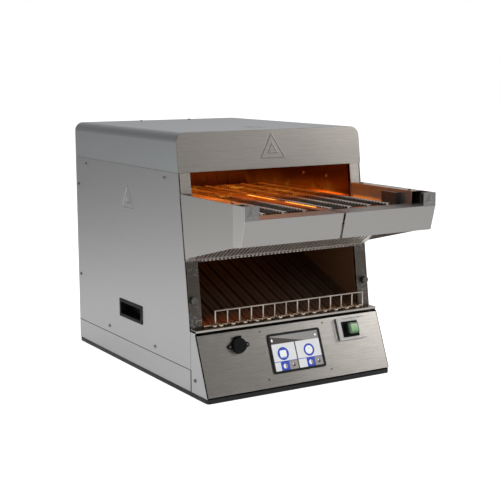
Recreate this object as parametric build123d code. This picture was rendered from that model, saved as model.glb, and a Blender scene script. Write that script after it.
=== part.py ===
from build123d import *
import math
import os

# Countertop two-lane conveyor toaster, in millimetres.
# X runs to the right of a person facing the toaster, the front faces -Y, +Z is up.
# The origin is on the counter, below the middle of the base.

# ---------------------------------------------------------------- driving sizes
# body
BODY_WIDTH = 370.0
BODY_HEIGHT = 434.0
BACK_Y = 257.0
SHEET = 1.2
PLATE = 1.5
CUT = 4.0
SEAM = 0.4
EDGE_GAP = 2.6
TOP_RADIUS = 16.0
FRONT_SLOPE = 7.64
FRONT_FOOT_Y = -220.2
HOOD_HEIGHT = 65.5
BASE_SEAM_Z = 44.8
SKIRT_BOTTOM_Z = 8.0
CHEEK_SEAM_SETBACK = 14.0
SIDE_KNEE_RISE = 3.5
SIDE_KNEE_DROP = 3.0
HOOD_FRONT_LAP = 9.0
TAB_LENGTH = 28.0
TAB_BOTTOM_Z = 26.0
TAB_TOP_Z = 90.0
VENT_FIRST_Z = 150.0
VENT_TOP_DROP = 58.5
VENT_ROWS = 11
VENT_SPACING = 90.0
VENT_LENGTH = 64.0
VENT_HEIGHT = 4.0

# base
FOOT_HEIGHT = 2.0
FOOT_RADIUS = 14.0
FOOT_INSET_X = 34.0
FOOT_INSET_Y = 42.0
BASE_CLEARANCE = 0.3
BASE_FRONT_REACH = 34.8
BASE_RIM_HEIGHT = 20.0
BASE_RIM_LAP = 1.0
LEG_BORE = 6.6
DECK_REAR_GAP = 92.0
DECK_LEG_WIDTH = 12.0
DECK_LEG_LENGTH = 10.0
DECK_LEG_INSET = 8.0
DECK_LEG_FRONT_INSET = 6.0
DECK_LEG_REAR_INSET = 60.0

# control console
CONSOLE_SLOPE = 22.06
CONSOLE_REACH = 3.1
CONSOLE_TOP_Z = 107.5
CONSOLE_BOTTOM_Z = 10.55
CONSOLE_RETURN = 10.0
CHEEK_GAP = 0.8
BEZEL_X = 0.6
BEZEL_WIDTH = 107.0
BEZEL_HEIGHT = 68.5
BEZEL_DROP = 50.0
BEZEL_LIP = 1.6
BEZEL_CORNER = 4.0
SCREEN_WIDTH = 97.2
SCREEN_HEIGHT = 60.2
SCREEN_DEPTH = 12.0
STUD_SPAN_X = 128.0
STUD_SPAN_Y = 82.0
STUD_RADIUS = 1.9
USB_INSET = 74.8
USB_DROP = 27.0
USB_FLANGE_RADIUS = 13.5
USB_SCREW_SPAN = 33.0
USB_BARREL_RADIUS = 10.5
USB_CAP_RADIUS = 12.2
USB_CAP_HEIGHT = 6.0
USB_CAP_GAP = 0.3
USB_FLANGE_THICKNESS = 2.0
USB_EAR_RADIUS = 4.3
USB_BARREL_DEPTH = 23.0
USB_SOCKET_WIDTH = 13.0
USB_SOCKET_HEIGHT = 5.2
USB_SOCKET_DEPTH = 16.0
USB_HINGE_OUT = 4.6
USB_HINGE_RISE = 0.6
USB_KNUCKLE_X = 4.6
USB_KNUCKLE_WIDTH = 3.0
USB_KNUCKLE_RADIUS = 1.9
USB_EYE_WIDTH = 5.4
USB_EYE_RADIUS = 2.2
USB_STRAP_THICKNESS = 2.8
USB_PIN_RADIUS = 0.8
PIN_FIT = 0.05
SWITCH_INSET = 65.8
SWITCH_DROP = 26.8
SWITCH_WIDTH = 33.0
SWITCH_HEIGHT = 27.0
SWITCH_BEZEL = 2.0
ROCKER_WIDTH = 24.4
ROCKER_HEIGHT = 19.2
ROCKER_DEPTH = 2.6
ROCKER_SWING = 9.0
ROCKER_PIVOT_DEPTH = 1.0
ROCKER_CAP_WIDTH = 21.8
ROCKER_CAP_CORNER = 3.0
ROCKER_CAP_EDGE = 2.0
ROCKER_RISE = 14.0
ROCKER_PIN_RADIUS = 1.2
SWITCH_FACE = 3.0
SWITCH_DEPTH = 22.0
SWITCH_FIT = 0.1
WELL_DEPTH = 9.0
WELL_CLEARANCE = 0.5
GUARD_WIDTH = 59.0
GUARD_HEIGHT = 39.0
GUARD_STANDOFF = 9.0
GUARD_SHIFT_X = 2.0
GUARD_SHIFT_DROP = -1.2
GUARD_ARM_LENGTH = 12.0
GUARD_HOLE_RADIUS = 1.6
GUARD_HOLE_INSET = 5.0
STUD_HEIGHT = 0.5

# handles
HANDLE_Y = 19.6
HANDLE_DROP = 4.2
HANDLE_WIDTH = 93.0
HANDLE_HEIGHT = 33.0
HANDLE_FRAME = 4.0
HANDLE_LIP = 1.4
HANDLE_DEPTH = 22.0
HANDLE_WALL = 1.6

# chamber
LINER_GAP = 22.4
LINER_SHEET = 1.0
LINER_FRONT_GAP = 7.0
FRAME_RECESS = 2.0
UPPER_OPENING_HEIGHT = 100.5
BAND_HEIGHT = 46.0
LOWER_OPENING_MARGIN = 2.0
FRAME_BAR = 16.0
FRAME_SIDE_GAP = 3.0
BAND_MARGIN = 2.0
BAND_TOP_MARGIN = 22.0
CEILING_DROP = 26.0
LATCH_SETBACK = 7.5
LATCH_WIDTH = 21.0
LATCH_HEIGHT = 28.0
LATCH_DROP = 5.0
WOOL_SIDE_GAP = 6.0
WOOL_FRONT_GAP = 1.0
WOOL_TOP_GAP = 0.3
DECK_DROP = 0.2

# belts
BELT_DROP = 23.1
BELT_THICKNESS = 2.0
BELT_INNER_X = 20.0
BELT_SIDE_GAP = 12.6
BELT_NOSE_SETBACK = 63.0
BELT_REAR_GAP = 131.0
BELT_RADIUS = 15.0
BELT_SPACES = 3
SPROCKET_CLEARANCE = 0.5
SPROCKET_WIDTH = 3.0
SHAFT_RADIUS = 4.0
SHAFT_FIT = 0.05
AXIAL_PLAY = 0.5
SHAFT_END_X = 2.0
SHAFT_STUB = 2.0
SPROCKET_TEETH = 8
SPROCKET_NOTCH_RADIUS = 2.0
RAIL_HALF_WIDTH = 7.0
RAIL_DROP = 8.0
RAIL_REACH = 15.0
RAIL_OVERHANG = 3.0
RAIL_POST_DROP = 12.0
NOSE_LENGTH = 34.0
NOSE_SIDE = 5.0
NOSE_RISE = 0.6
CROSSBAR_DEPTH = 14.0
CROSSBAR_HEIGHT = 3.0
CROSSBAR_FRONT_GAP = 61.0
CROSSBAR_REAR_GAP = 91.0
CROSSBARS = 3
BEARING_WIDTH = 38.0
BEARING_THICKNESS = 11.0
BEARING_RISE = 18.3
BEARING_SETBACK = 6.0
BEARING_DROP = 10.0
BUSH_LENGTH = 6.0
BUSH_WALL = 5.0

# heaters
HEATER_RADIUS = 3.6
UPPER_HEATER_DROP = 24.0
UPPER_HEATERS = 6
LOWER_HEATERS = 5
LOWER_HEATER_DROP = 5.0
HEATER_FRONT_GAP = 88.2
UPPER_HEATER_REAR_GAP = 3.0
LOWER_HEATER_REAR_GAP = 33.0
HEATER_TAIL = 3.0
INSULATOR_RADIUS = 6.0
INSULATOR_LENGTH = 12.0
COLLAR_LENGTH = 4.0
COLLAR_WALL = 1.5
REFLECTOR_MARGIN = 24.0
REFLECTOR_SHEET = 0.8
REFLECTOR_GAP = 2.5

# chute, tray and rack
CHUTE_DROP = 45.0
CHUTE_SETBACK = 19.8
CHUTE_LIP_RISE = 3.0
CHUTE_REAR_GAP = 52.0
CHUTE_SHEET = 1.0
CHUTE_BEND_RADIUS = 160.0
CHUTE_BEND_STEPS = 12
RIB_PITCH = 24.0
RIB_WIDTH = 5.0
RIB_HEIGHT = 2.2
RIB_SIDE_MARGIN = 12.0
TRAY_LIP_RISE = 6.5
TRAY_LIP_DROP = 3.6
TRAY_WALL_GAP = 14.6
TRAY_LENGTH = 236.2
TRAY_FLOOR_GAP = 0.3
TRAY_SIDE_GAP = 1.0
TRAY_WALL_HEIGHT = 4.6
RACK_WIRE = 1.5
RACK_RAIL = 1.65
RACK_BEAD = 1.85
RACK_LEFT_INSET = 46.0
RACK_RIGHT_INSET = 20.0
RACK_BARS = 14
RACK_HEIGHT = 24.0
RACK_SETBACK = 15.3
RACK_TAIL = 11.0
RACK_HAIRPIN = 8.2
RACK_SEAT_GAP = 0.3

# feed shelf
SHELF_SIDE_GAP = 0.8
SHELF_TOP_DROP = 33.9
SHELF_BOX_DEPTH = 36.5
SHELF_REACH = 158.8
SHELF_STEP = 21.4
SHELF_FRONT_TUCK = 11.0
SHELF_FRONT_HEIGHT = 41.7
SHELF_FOLD_HEIGHT = 66.9
SHELF_REAR_HEIGHT = 105.4
SHELF_WALL_HEIGHT = 53.6
SHELF_SPLIT = 4.4
SHELF_LEDGE = 44.0
SHELF_RETURN = 12.0
SHELF_WALL_LAP = 0.6
SHELF_TIE_WIDTH = 8.0
SHELF_TIE_SETBACK = 24.7
SHELF_TIE_FRONT_GAP = 42.5
TAB_WIDTH = 25.4
TAB_FOLD = 7.0
PAN_FLANGE = 10.0
PAN_RAMP_SLOPE = 33.0
PAN_TOE_DROP = 5.2
PAN_TOE_MARGIN = 3.0
PAN_SEAT = 0.2
PAN_END_LAP = 8.0
PAN_SLOT_LENGTH = 42.0
SLOT_PITCH = 7.6
SLOT_WIDTH = 3.8
SLOT_MARGIN = 10.0

# drive
MOTOR_REAR_GAP = 107.0
MOTOR_Z = 58.0
MOTOR_RADIUS = 26.0
MOTOR_LENGTH = 62.0
GEARBOX_SIZE = 60.0
GEARBOX_LENGTH = 34.0
GEARBOX_SIDE_GAP = 18.0
GEARBOX_BORE_DEPTH = 20.0
MOTOR_FOOT_WIDTH = 44.0
MOTOR_FOOT_LAP = 4.0
CHAIN_GAP = 11.5
CHAIN_WIDTH = 4.0
CHAIN_PITCH_RADIUS = 15.0
CHAIN_THICKNESS = 5.0
CHAIN_CLEARANCE = 0.4
WHEEL_INSET = 0.5

# cooling and electrics
FAN_SIZE = 80.0
FAN_DEPTH = 25.0
FAN_X = 0.0
FAN_Z = 64.0
FAN_HUB_RADIUS = 16.0
FAN_CLEARANCE = 1.5
FAN_BLADES = 7
FAN_RIM = 3.0
FAN_STRUT_WIDTH = 5.0
FAN_STRUT_DEPTH = 3.0
FAN_PIN_RADIUS = 2.0
FAN_PIN_SETBACK = 8.0
FAN_END_PLAY = 0.5
BLADE_ANGLE = 35.0
BLADE_THICKNESS = 1.4
BLADE_CHORD = 17.0
BLADE_LAP = 2.0
GRILLE_RINGS = 4
GRILLE_FIRST_RADIUS = 12.0
GRILLE_WIRE = 1.8
GRILLE_DEPTH = 1.6
GRILLE_BAR = 2.4
GRILLE_BAR_LENGTH = 92.0
GLAND_INSET = 75.0
GLAND_Z = 40.0
GLAND_RADIUS = 12.0
GLAND_NECK_RADIUS = 8.6
GLAND_BORE_RADIUS = 4.8
GLAND_NOSE = 10.0
GLAND_THREAD = 8.0
GLAND_NUT = 5.0
GLAND_FIT = 0.05
BOARD_WIDTH = 150.0
BOARD_DEPTH = 110.0
BOARD_SETBACK = 70.2
BOARD_THICKNESS = 1.6
RELAY = (30.0, 26.0, 18.0)
HEAT_SINK = (36.0, 30.0, 12.0)
SUPPLY_COIL = (22.0, 30.0, 24.0)
STANDOFF_HEIGHT = 8.0
STANDOFF_RADIUS = 3.0
STANDOFF_INSET = 6.0
CONTACTOR_INSET = 137.5
CONTACTOR_REAR_GAP = 189.5
CONTACTOR_WIDTH = 45.0
CONTACTOR_LENGTH = 55.0
CONTACTOR_HEIGHT = 48.0
CONTACTOR_POLE_PITCH = 12.5
CONTACTOR_NOTCH = 8.0
CONTACTOR_NOTCH_DEPTH = 4.0
CONTACTOR_NOTCH_HEIGHT = 14.0
TERMINALS_REAR_GAP = 59.0
TERMINALS_WIDTH = 60.0
TERMINALS_DEPTH = 24.0
TERMINALS_HEIGHT = 26.0
TERMINAL_COUNT = 4
TERMINAL_PITCH = 14.0
TERMINAL_RADIUS = 3.2
TERMINAL_DEPTH = 8.0

# fasteners
HEAD_RADIUS = 3.0
HEAD_HEIGHT = 1.8
KNOB_RADIUS = 6.0
KNOB_LENGTH = 8.0
KNOB_INSET = 10.0
KNOB_RISE = 46.0
KNOB_STEM_RADIUS = 2.5
KNOB_STEM_LENGTH = 8.0
KNOB_GAP = 0.3
KNOB_HOLE_CLEARANCE = 0.4
KNOB_GROOVES = 16
KNOB_GROOVE_RADIUS = 0.9
LOWER_SCREW_RISE = 12.5
LOWER_SCREW_PLACES = (-74.4, 115.3)
UPPER_SCREW_DROP = 11.5
UPPER_SCREW_PLACES = (-120.2, 208.5)
REAR_SCREW_INSET = 11.0
REAR_SCREW_DROP = 53.4
REAR_SCREW_RISE = 92.1
CHEEK_SCREW_INSET = 14.4
CHEEK_SCREW_RISE = 22.3
TOP_SCREW_X = 54.0
TOP_SCREW_INSET = 24.0
SHELF_SCREW_INSET = 11.0
SHELF_SCREW_SETBACK = 16.7
SHELF_SCREW_FRONT_GAP = 18.5
LINER_SCREW_RISE = 29.0
LINER_SCREW_PLACES = (-96.5, -21.7)

# embossed ornaments: a triangle outline round a smaller one
MARK_HEIGHT = 0.5
MARK_LINE = 2.0
MARK_SINK = 0.1
MARK_NEST = 0.42
HOOD_MARK_WIDTH = 50.4
HOOD_MARK_RISE = 31.3
HOOD_TOP_MARK_Y = -95.0
SIDE_MARK_WIDTH = 50.8
SIDE_MARK_Y = 26.0
SIDE_MARK_DROP = 64.5
TAB_MARK_WIDTH = 16.0

# ---------------------------------------------------------------- derived places
# across
HALF = BODY_WIDTH / 2
INNER = HALF - SHEET
LINER_X = HALF - LINER_GAP
LOWER_OPENING_X = LINER_X - LOWER_OPENING_MARGIN
BELT_OUTER_X = LINER_X - BELT_SIDE_GAP
TRAY_HALF_WIDTH = LINER_X - TRAY_WALL_GAP
SHELF_HALF_WIDTH = HALF - SHELF_SIDE_GAP
SHELF_INNER_X = LINER_X + SHEET - SHELF_WALL_LAP
CHAIN_X = HALF - CHAIN_GAP
KNOB_X = HALF - KNOB_INSET
SWITCH_X = HALF - SWITCH_INSET
USB_X = USB_INSET - HALF
GLAND_X = GLAND_INSET - HALF
CONTACTOR_X = CONTACTOR_INSET - HALF
RACK_FIRST_X = RACK_LEFT_INSET - HALF
RACK_LAST_X = HALF - RACK_RIGHT_INSET

# up
HOOD_SEAM_Z = BODY_HEIGHT - HOOD_HEIGHT
CEILING_Z = BODY_HEIGHT - CEILING_DROP
SHELF_TOP_Z = HOOD_SEAM_Z - SHELF_TOP_DROP
SHELF_FRONT_TOP_Z = SHELF_TOP_Z - SHELF_STEP
SHELF_FRONT_BOTTOM_Z = SHELF_FRONT_TOP_Z - SHELF_FRONT_HEIGHT
SHELF_FOLD_BOTTOM_Z = SHELF_TOP_Z - SHELF_FOLD_HEIGHT
SHELF_REAR_BOTTOM_Z = SHELF_TOP_Z - SHELF_REAR_HEIGHT
SHELF_INNER_BOTTOM_Z = SHELF_TOP_Z - SHELF_WALL_HEIGHT
UPPER_OPENING_BOTTOM = HOOD_SEAM_Z - UPPER_OPENING_HEIGHT
LOWER_OPENING_TOP = UPPER_OPENING_BOTTOM - BAND_HEIGHT
LATCH_TOP_Z = LOWER_OPENING_TOP - LATCH_DROP
BELT_TOP_Z = SHELF_TOP_Z - BELT_DROP
BELT_AXIS_Z = BELT_TOP_Z - BELT_RADIUS
BEARING_TOP_Z = BELT_TOP_Z + BEARING_RISE
CROSSBAR_Z = BELT_TOP_Z - RAIL_DROP - CROSSBAR_HEIGHT
UPPER_HEATER_Z = CEILING_Z - UPPER_HEATER_DROP
LOWER_HEATER_Z = BELT_AXIS_Z - LOWER_HEATER_DROP
PAN_TOP = FOOT_HEIGHT + SHEET
DECK_Z = CONSOLE_TOP_Z - DECK_DROP
TRAY_LIP_TOP_Z = CONSOLE_TOP_Z + TRAY_LIP_RISE
CHUTE_FRONT_Z = TRAY_LIP_TOP_Z + CHUTE_LIP_RISE
KNOB_Z = TRAY_LIP_TOP_Z + KNOB_RISE
HANDLE_Z = CONSOLE_TOP_Z - HANDLE_DROP
SIDE_KNEE_Z = CONSOLE_TOP_Z + SIDE_KNEE_RISE
CONSOLE_LENGTH = (CONSOLE_TOP_Z - CONSOLE_BOTTOM_Z) / math.cos(math.radians(CONSOLE_SLOPE))

# front to back
LEAN = math.tan(math.radians(FRONT_SLOPE))
CONSOLE_TOP_Y = FRONT_FOOT_Y - CONSOLE_REACH
BASE_FRONT_Y = FRONT_FOOT_Y - BASE_FRONT_REACH
CHEEK_SEAM_Y = FRONT_FOOT_Y + CHEEK_SEAM_SETBACK
CHUTE_FRONT_Y = FRONT_FOOT_Y + CHUTE_SETBACK
RACK_Y = CONSOLE_TOP_Y + RACK_SETBACK
SHELF_FRONT_Y = FRONT_FOOT_Y - SHELF_REACH
SHELF_FRONT_BOTTOM_Y = SHELF_FRONT_Y + SHELF_FRONT_TUCK
SHELF_FOLD_Y = SHELF_FRONT_Y + SHELF_BOX_DEPTH
BELT_NOSE_Y = SHELF_FRONT_Y + BELT_NOSE_SETBACK
BELT_REAR_Y = BACK_Y - BELT_REAR_GAP
IDLER_Y = BELT_NOSE_Y + BELT_RADIUS
DRIVE_Y = BELT_REAR_Y - BELT_RADIUS
RAIL_FRONT_Y = BELT_NOSE_Y - RAIL_REACH
SPROCKET_RADIUS = BELT_RADIUS - BELT_THICKNESS - SPROCKET_CLEARANCE
HEATER_FIRST_Y = FRONT_FOOT_Y + HEATER_FRONT_GAP
UPPER_HEATER_LAST_Y = DRIVE_Y - UPPER_HEATER_REAR_GAP
LOWER_HEATER_LAST_Y = DRIVE_Y - LOWER_HEATER_REAR_GAP
CHUTE_REAR_Y = BACK_Y - CHUTE_REAR_GAP
TRAY_BACK_Y = CHEEK_SEAM_Y + TRAY_LENGTH
DECK_REAR_Y = BACK_Y - DECK_REAR_GAP
MOTOR_Y = BACK_Y - MOTOR_REAR_GAP
BOARD_FRONT_Y = FRONT_FOOT_Y + BOARD_SETBACK
CONTACTOR_Y = BACK_Y - CONTACTOR_REAR_GAP
TERMINALS_Y = BACK_Y - TERMINALS_REAR_GAP
CHUTE_RISE = BELT_TOP_Z - 2 * BELT_RADIUS - CHUTE_DROP - CHUTE_FRONT_Z
CHUTE_ANGLE = math.atan2(CHUTE_RISE, DRIVE_Y - CHUTE_FRONT_Y)

FRONT = Plane(
    origin=(0, FRONT_FOOT_Y, 0),
    x_dir=(1, 0, 0),
    z_dir=(0, -math.cos(math.radians(FRONT_SLOPE)), math.sin(math.radians(FRONT_SLOPE))),
)
CONSOLE = Plane(
    origin=(0, CONSOLE_TOP_Y, CONSOLE_TOP_Z),
    x_dir=(1, 0, 0),
    z_dir=(0, -math.cos(math.radians(CONSOLE_SLOPE)), math.sin(math.radians(CONSOLE_SLOPE))),
)


def front_y(z):
    """Y of the slanted front plane at height z."""
    return FRONT_FOOT_Y + LEAN * z


def front_v(z):
    """Distance up the slanted front plane that reaches height z."""
    return z / math.cos(math.radians(FRONT_SLOPE))


def console_point(drop, out=0.0):
    """YZ of a point on the console face, drop below its top edge and out from its surface."""
    angle = math.radians(CONSOLE_SLOPE)
    y = CONSOLE_TOP_Y - drop * math.sin(angle) - out * math.cos(angle)
    z = CONSOLE_TOP_Z - drop * math.cos(angle) + out * math.sin(angle)
    return y, z


# ---------------------------------------------------------------- shape helpers
def block(x0, x1, y0, y1, z0, z1):
    """Box between two opposite corners."""
    return Pos((x0 + x1) / 2, (y0 + y1) / 2, (z0 + z1) / 2) * Box(x1 - x0, y1 - y0, z1 - z0)


def prism_x(points, x0, x1):
    """Outline of (y, z) points carried along X from x0 to x1."""
    face = Plane.YZ * make_face(Polyline(*points, close=True))
    return Pos(x0, 0, 0) * extrude(face, amount=x1 - x0)


def rod_x(x0, x1, y, z, radius):
    """Round bar along X."""
    return Pos((x0 + x1) / 2, y, z) * Rot(0, 90, 0) * Cylinder(radius, x1 - x0)


def rod_y(y0, y1, x, z, radius):
    """Round bar along Y."""
    return Pos(x, (y0 + y1) / 2, z) * Rot(90, 0, 0) * Cylinder(radius, y1 - y0)


def rod_z(z0, z1, x, y, radius):
    """Round bar along Z."""
    return Pos(x, y, (z0 + z1) / 2) * Cylinder(radius, z1 - z0)


def on_plane(plane, x, v, shape, out=0.0):
    """Place a shape drawn about the origin on a plane, at x and v, raised by out."""
    return plane.location * Pos(x, v, out) * shape


def slab(plane, x0, x1, v0, v1, w0, w1):
    """Box drawn in a slanted plane's own directions."""
    shape = Box(x1 - x0, v1 - v0, w1 - w0)
    return plane.location * Pos((x0 + x1) / 2, (v0 + v1) / 2, (w0 + w1) / 2) * shape


def mirrored(shape):
    """The same shape on the other side of the middle."""
    return mirror(shape, about=Plane.YZ)


def spread(first, last, count):
    """Evenly spaced values from first to last."""
    step = (last - first) / (count - 1)
    return [first + step * i for i in range(count)]


def group(shapes):
    """Separate solids kept in one node."""
    solids = [solid for shape in shapes for solid in shape.solids()]
    return Compound(children=solids)


def button_head():
    """Screw head with a domed top, standing on the XY plane."""
    head = Pos(0, 0, HEAD_HEIGHT / 2) * Cylinder(HEAD_RADIUS, HEAD_HEIGHT)
    head = fillet(head.edges().group_by(Axis.Z)[-1], HEAD_HEIGHT * 0.7)
    return head - Pos(0, 0, HEAD_HEIGHT) * Cylinder(HEAD_RADIUS * 0.35, HEAD_HEIGHT)


def triangle_outline(width, line):
    """Equal-sided triangle of lines, its corners on the given width."""
    inner = width - 2 * math.sqrt(3) * line
    return Triangle(a=width, b=width, c=width) - Triangle(a=inner, b=inner, c=inner)


def nested_triangles(width):
    """Raised triangle outline round a smaller one, centred on the XY plane."""
    line = MARK_LINE * width / HOOD_MARK_WIDTH
    outlines = [triangle_outline(width, line), triangle_outline(width * MARK_NEST, line)]
    return [extrude(outline, amount=MARK_HEIGHT + MARK_SINK) for outline in outlines]


def with_mark(body, plane, x, v, width):
    """Weld the raised triangles on a panel whose outer face is the plane."""
    for stroke in nested_triangles(width):
        body += plane.location * Pos(x, v, -MARK_SINK) * stroke
    return body


# ---------------------------------------------------------------- base
def base_pan():
    edge = INNER - BASE_CLEARANCE
    back = BACK_Y - SHEET - BASE_CLEARANCE
    rim = FOOT_HEIGHT + BASE_RIM_HEIGHT
    pan = block(-edge, edge, BASE_FRONT_Y, back, FOOT_HEIGHT, rim)
    hollow = block(-edge + PLATE, edge - PLATE, BASE_FRONT_Y + PLATE, back - PLATE, PAN_TOP, rim + 1)
    pan -= hollow
    rim_front = console_point(CONSOLE_LENGTH)[1] + BASE_RIM_LAP
    pan -= block(-edge, edge, BASE_FRONT_Y - 1, CHEEK_SEAM_Y, rim_front, rim + 1)
    for x, y in foot_places():
        pan -= rod_z(0, PAN_TOP + 1, x, y, LEG_BORE / 2)
    return pan


def foot_places():
    x = HALF - FOOT_INSET_X
    y = BACK_Y - FOOT_INSET_Y
    return [(-x, -y), (x, -y), (-x, y), (x, y)]


def rubber_feet():
    feet = []
    for x, y in foot_places():
        disc = rod_z(0, FOOT_HEIGHT, x, y, FOOT_RADIUS)
        feet.append(disc - rod_z(-1, FOOT_HEIGHT + 1, x, y, LEG_BORE / 2))
    return group(feet)


def deck():
    edge = INNER - HANDLE_DEPTH - 2 * HANDLE_LIP
    shelf = block(-edge, edge, CHEEK_SEAM_Y, DECK_REAR_Y, DECK_Z - SHEET, DECK_Z)
    half_width = DECK_LEG_WIDTH / 2
    half_length = DECK_LEG_LENGTH / 2
    for side in (-1, 1):
        x = side * (edge - DECK_LEG_INSET)
        for y in (CHEEK_SEAM_Y + DECK_LEG_FRONT_INSET, DECK_REAR_Y - DECK_LEG_REAR_INSET):
            shelf += block(x - half_width, x + half_width, y - half_length, y + half_length, PAN_TOP,
                           DECK_Z - SHEET)
    return shelf


# ---------------------------------------------------------------- outer panels
def left_side_panel():
    top = HOOD_SEAM_Z - SEAM
    bottom = BASE_SEAM_Z + SEAM
    outline = [
        (BACK_Y, bottom),
        (BACK_Y, top),
        (front_y(top) + EDGE_GAP, top),
        (front_y(SIDE_KNEE_Z) + EDGE_GAP, SIDE_KNEE_Z),
        (CHEEK_SEAM_Y + SEAM, SIDE_KNEE_Z - SIDE_KNEE_DROP),
        (CHEEK_SEAM_Y + SEAM, bottom),
    ]
    panel = prism_x(outline, -HALF, -INNER)
    panel -= handle_block(HANDLE_FRAME, -HALF - CUT, -INNER + CUT)
    side = Plane(origin=(-HALF, 0, 0), x_dir=(0, -1, 0), z_dir=(-1, 0, 0))
    return with_mark(panel, side, -SIDE_MARK_Y, HOOD_SEAM_Z - SIDE_MARK_DROP, SIDE_MARK_WIDTH)


def left_skirt():
    return block(-HALF, -INNER, CHEEK_SEAM_Y + SEAM, BACK_Y, SKIRT_BOTTOM_Z, BASE_SEAM_Z)


def left_cheek():
    top = TRAY_LIP_TOP_Z - TRAY_LIP_DROP - 2 * TRAY_FLOOR_GAP
    bottom_y, bottom_z = console_point(CONSOLE_LENGTH, -CHEEK_GAP - PLATE)
    top_y, top_z = console_point(0, -CHEEK_GAP - PLATE)
    outline = [
        (CHEEK_SEAM_Y, SKIRT_BOTTOM_Z),
        (CHEEK_SEAM_Y, top),
        (top_y, top),
        (top_y, top_z),
        (bottom_y, bottom_z),
        (bottom_y, SKIRT_BOTTOM_Z),
    ]
    cheek = prism_x(outline, -HALF, -INNER)
    half_tab = TAB_LENGTH / 2
    tab = block(-INNER, -INNER + PLATE, CHEEK_SEAM_Y - half_tab, CHEEK_SEAM_Y + half_tab, TAB_BOTTOM_Z,
                TAB_TOP_Z)
    return cheek + tab


def back_panel():
    wall = block(-INNER, INNER, BACK_Y - SHEET, BACK_Y, SKIRT_BOTTOM_Z, HOOD_SEAM_Z - SEAM)
    inside = BACK_Y - SHEET - CUT
    outside = BACK_Y + CUT
    wall -= rod_y(inside, outside, FAN_X, FAN_Z, FAN_SIZE / 2 - FAN_RIM)
    wall -= rod_y(inside, outside, GLAND_X, GLAND_Z, GLAND_NECK_RADIUS)
    half_length = VENT_LENGTH / 2
    half_height = VENT_HEIGHT / 2
    for z in spread(VENT_FIRST_Z, HOOD_SEAM_Z - VENT_TOP_DROP, VENT_ROWS):
        for x in (-VENT_SPACING, 0, VENT_SPACING):
            wall -= block(x - half_length, x + half_length, inside, outside, z - half_height,
                          z + half_height)
    return wall


def hood_profile(inset):
    width = BODY_WIDTH - 2 * inset
    height = BODY_HEIGHT - HOOD_SEAM_Z - inset
    radius = TOP_RADIUS - inset
    sketch = Pos(0, HOOD_SEAM_Z + height / 2) * Rectangle(width, height)
    return fillet(sketch.vertices().group_by(Axis.Y)[-1], radius)


def hood_solid(inset, front_offset, back):
    """Rounded hood shape between the slanted front plane and the back."""
    face = Plane.XZ.offset(-back) * hood_profile(inset)
    length = back - front_y(HOOD_SEAM_Z) + 20
    solid = extrude(face, amount=length)
    cutter = slab(FRONT, -HALF - 5, HALF + 5, front_v(HOOD_SEAM_Z) - 20, front_v(BODY_HEIGHT) + 20,
                  front_offset, 90)
    return solid - cutter


def hood_cover():
    shell = hood_solid(0, -PLATE, BACK_Y) - hood_solid(SHEET, 10, BACK_Y - SHEET)
    top = Plane(origin=(0, 0, BODY_HEIGHT), x_dir=(1, 0, 0), z_dir=(0, 0, 1))
    return with_mark(shell, top, 0, HOOD_TOP_MARK_Y, HOOD_MARK_WIDTH)


def hood_front():
    plate = hood_solid(0, 0, BACK_Y) - hood_solid(-1, -PLATE, BACK_Y + 1)
    keep = slab(FRONT, -HALF, HALF, front_v(HOOD_SEAM_Z) - HOOD_FRONT_LAP,
                front_v(BODY_HEIGHT) + HOOD_FRONT_LAP, -PLATE, 0)
    plate = plate & keep
    middle = front_v(HOOD_SEAM_Z + HOOD_MARK_RISE)
    return with_mark(plate, FRONT, 0, middle, HOOD_MARK_WIDTH)


def front_frame():
    face = -FRAME_RECESS
    back = face - PLATE - CUT
    bottom = front_v(DECK_Z)
    band_bottom = front_v(LOWER_OPENING_TOP)
    band_top = front_v(UPPER_OPENING_BOTTOM)
    seam = front_v(HOOD_SEAM_Z)
    edge = HALF - FRAME_SIDE_GAP
    frame = slab(FRONT, -edge, edge, bottom, seam + FRAME_BAR, face - PLATE, face)
    frame -= slab(FRONT, -LINER_X, LINER_X, band_top, seam, back, CUT)
    frame -= slab(FRONT, -LOWER_OPENING_X, LOWER_OPENING_X, bottom - CUT, band_bottom, back, CUT)
    for side in (-1, 1):
        hole = Cylinder(KNOB_STEM_RADIUS + KNOB_HOLE_CLEARANCE, 2 * (PLATE + CUT))
        frame -= on_plane(FRONT, side * KNOB_X, front_v(KNOB_Z), hole, face)
    count = int((2 * LOWER_OPENING_X - 2 * SLOT_MARGIN) / SLOT_PITCH)
    for i in range(count):
        x = (i - (count - 1) / 2) * SLOT_PITCH
        frame -= slab(FRONT, x - SLOT_WIDTH / 2, x + SLOT_WIDTH / 2, band_bottom + BAND_MARGIN,
                      band_top - BAND_TOP_MARGIN, back, CUT)
    return frame


# ---------------------------------------------------------------- chamber
def ramp_z(y):
    """Height of the chute's upper face along its straight ramp."""
    return CHUTE_FRONT_Z + (y - CHUTE_FRONT_Y) * math.tan(CHUTE_ANGLE)


def chute_wire(offset):
    """Chute profile: a straight ramp, a bend and an upright back, moved square to itself."""
    angle = CHUTE_ANGLE
    shift_y = -math.sin(angle) * offset
    shift_z = math.cos(angle) * offset
    centre_y = CHUTE_REAR_Y - CHUTE_BEND_RADIUS
    centre_z = ramp_z(centre_y + CHUTE_BEND_RADIUS * math.sin(angle)) + CHUTE_BEND_RADIUS * math.cos(angle)
    points = [(CHUTE_FRONT_Y + shift_y, CHUTE_FRONT_Z + shift_z)]
    for i in range(CHUTE_BEND_STEPS + 1):
        turn = angle + (math.pi / 2 - angle) * i / CHUTE_BEND_STEPS
        y = centre_y + (CHUTE_BEND_RADIUS - offset) * math.sin(turn)
        z = centre_z - (CHUTE_BEND_RADIUS - offset) * math.cos(turn)
        points.append((y, z))
    points.append((CHUTE_REAR_Y - offset, CEILING_Z))
    return points


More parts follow.
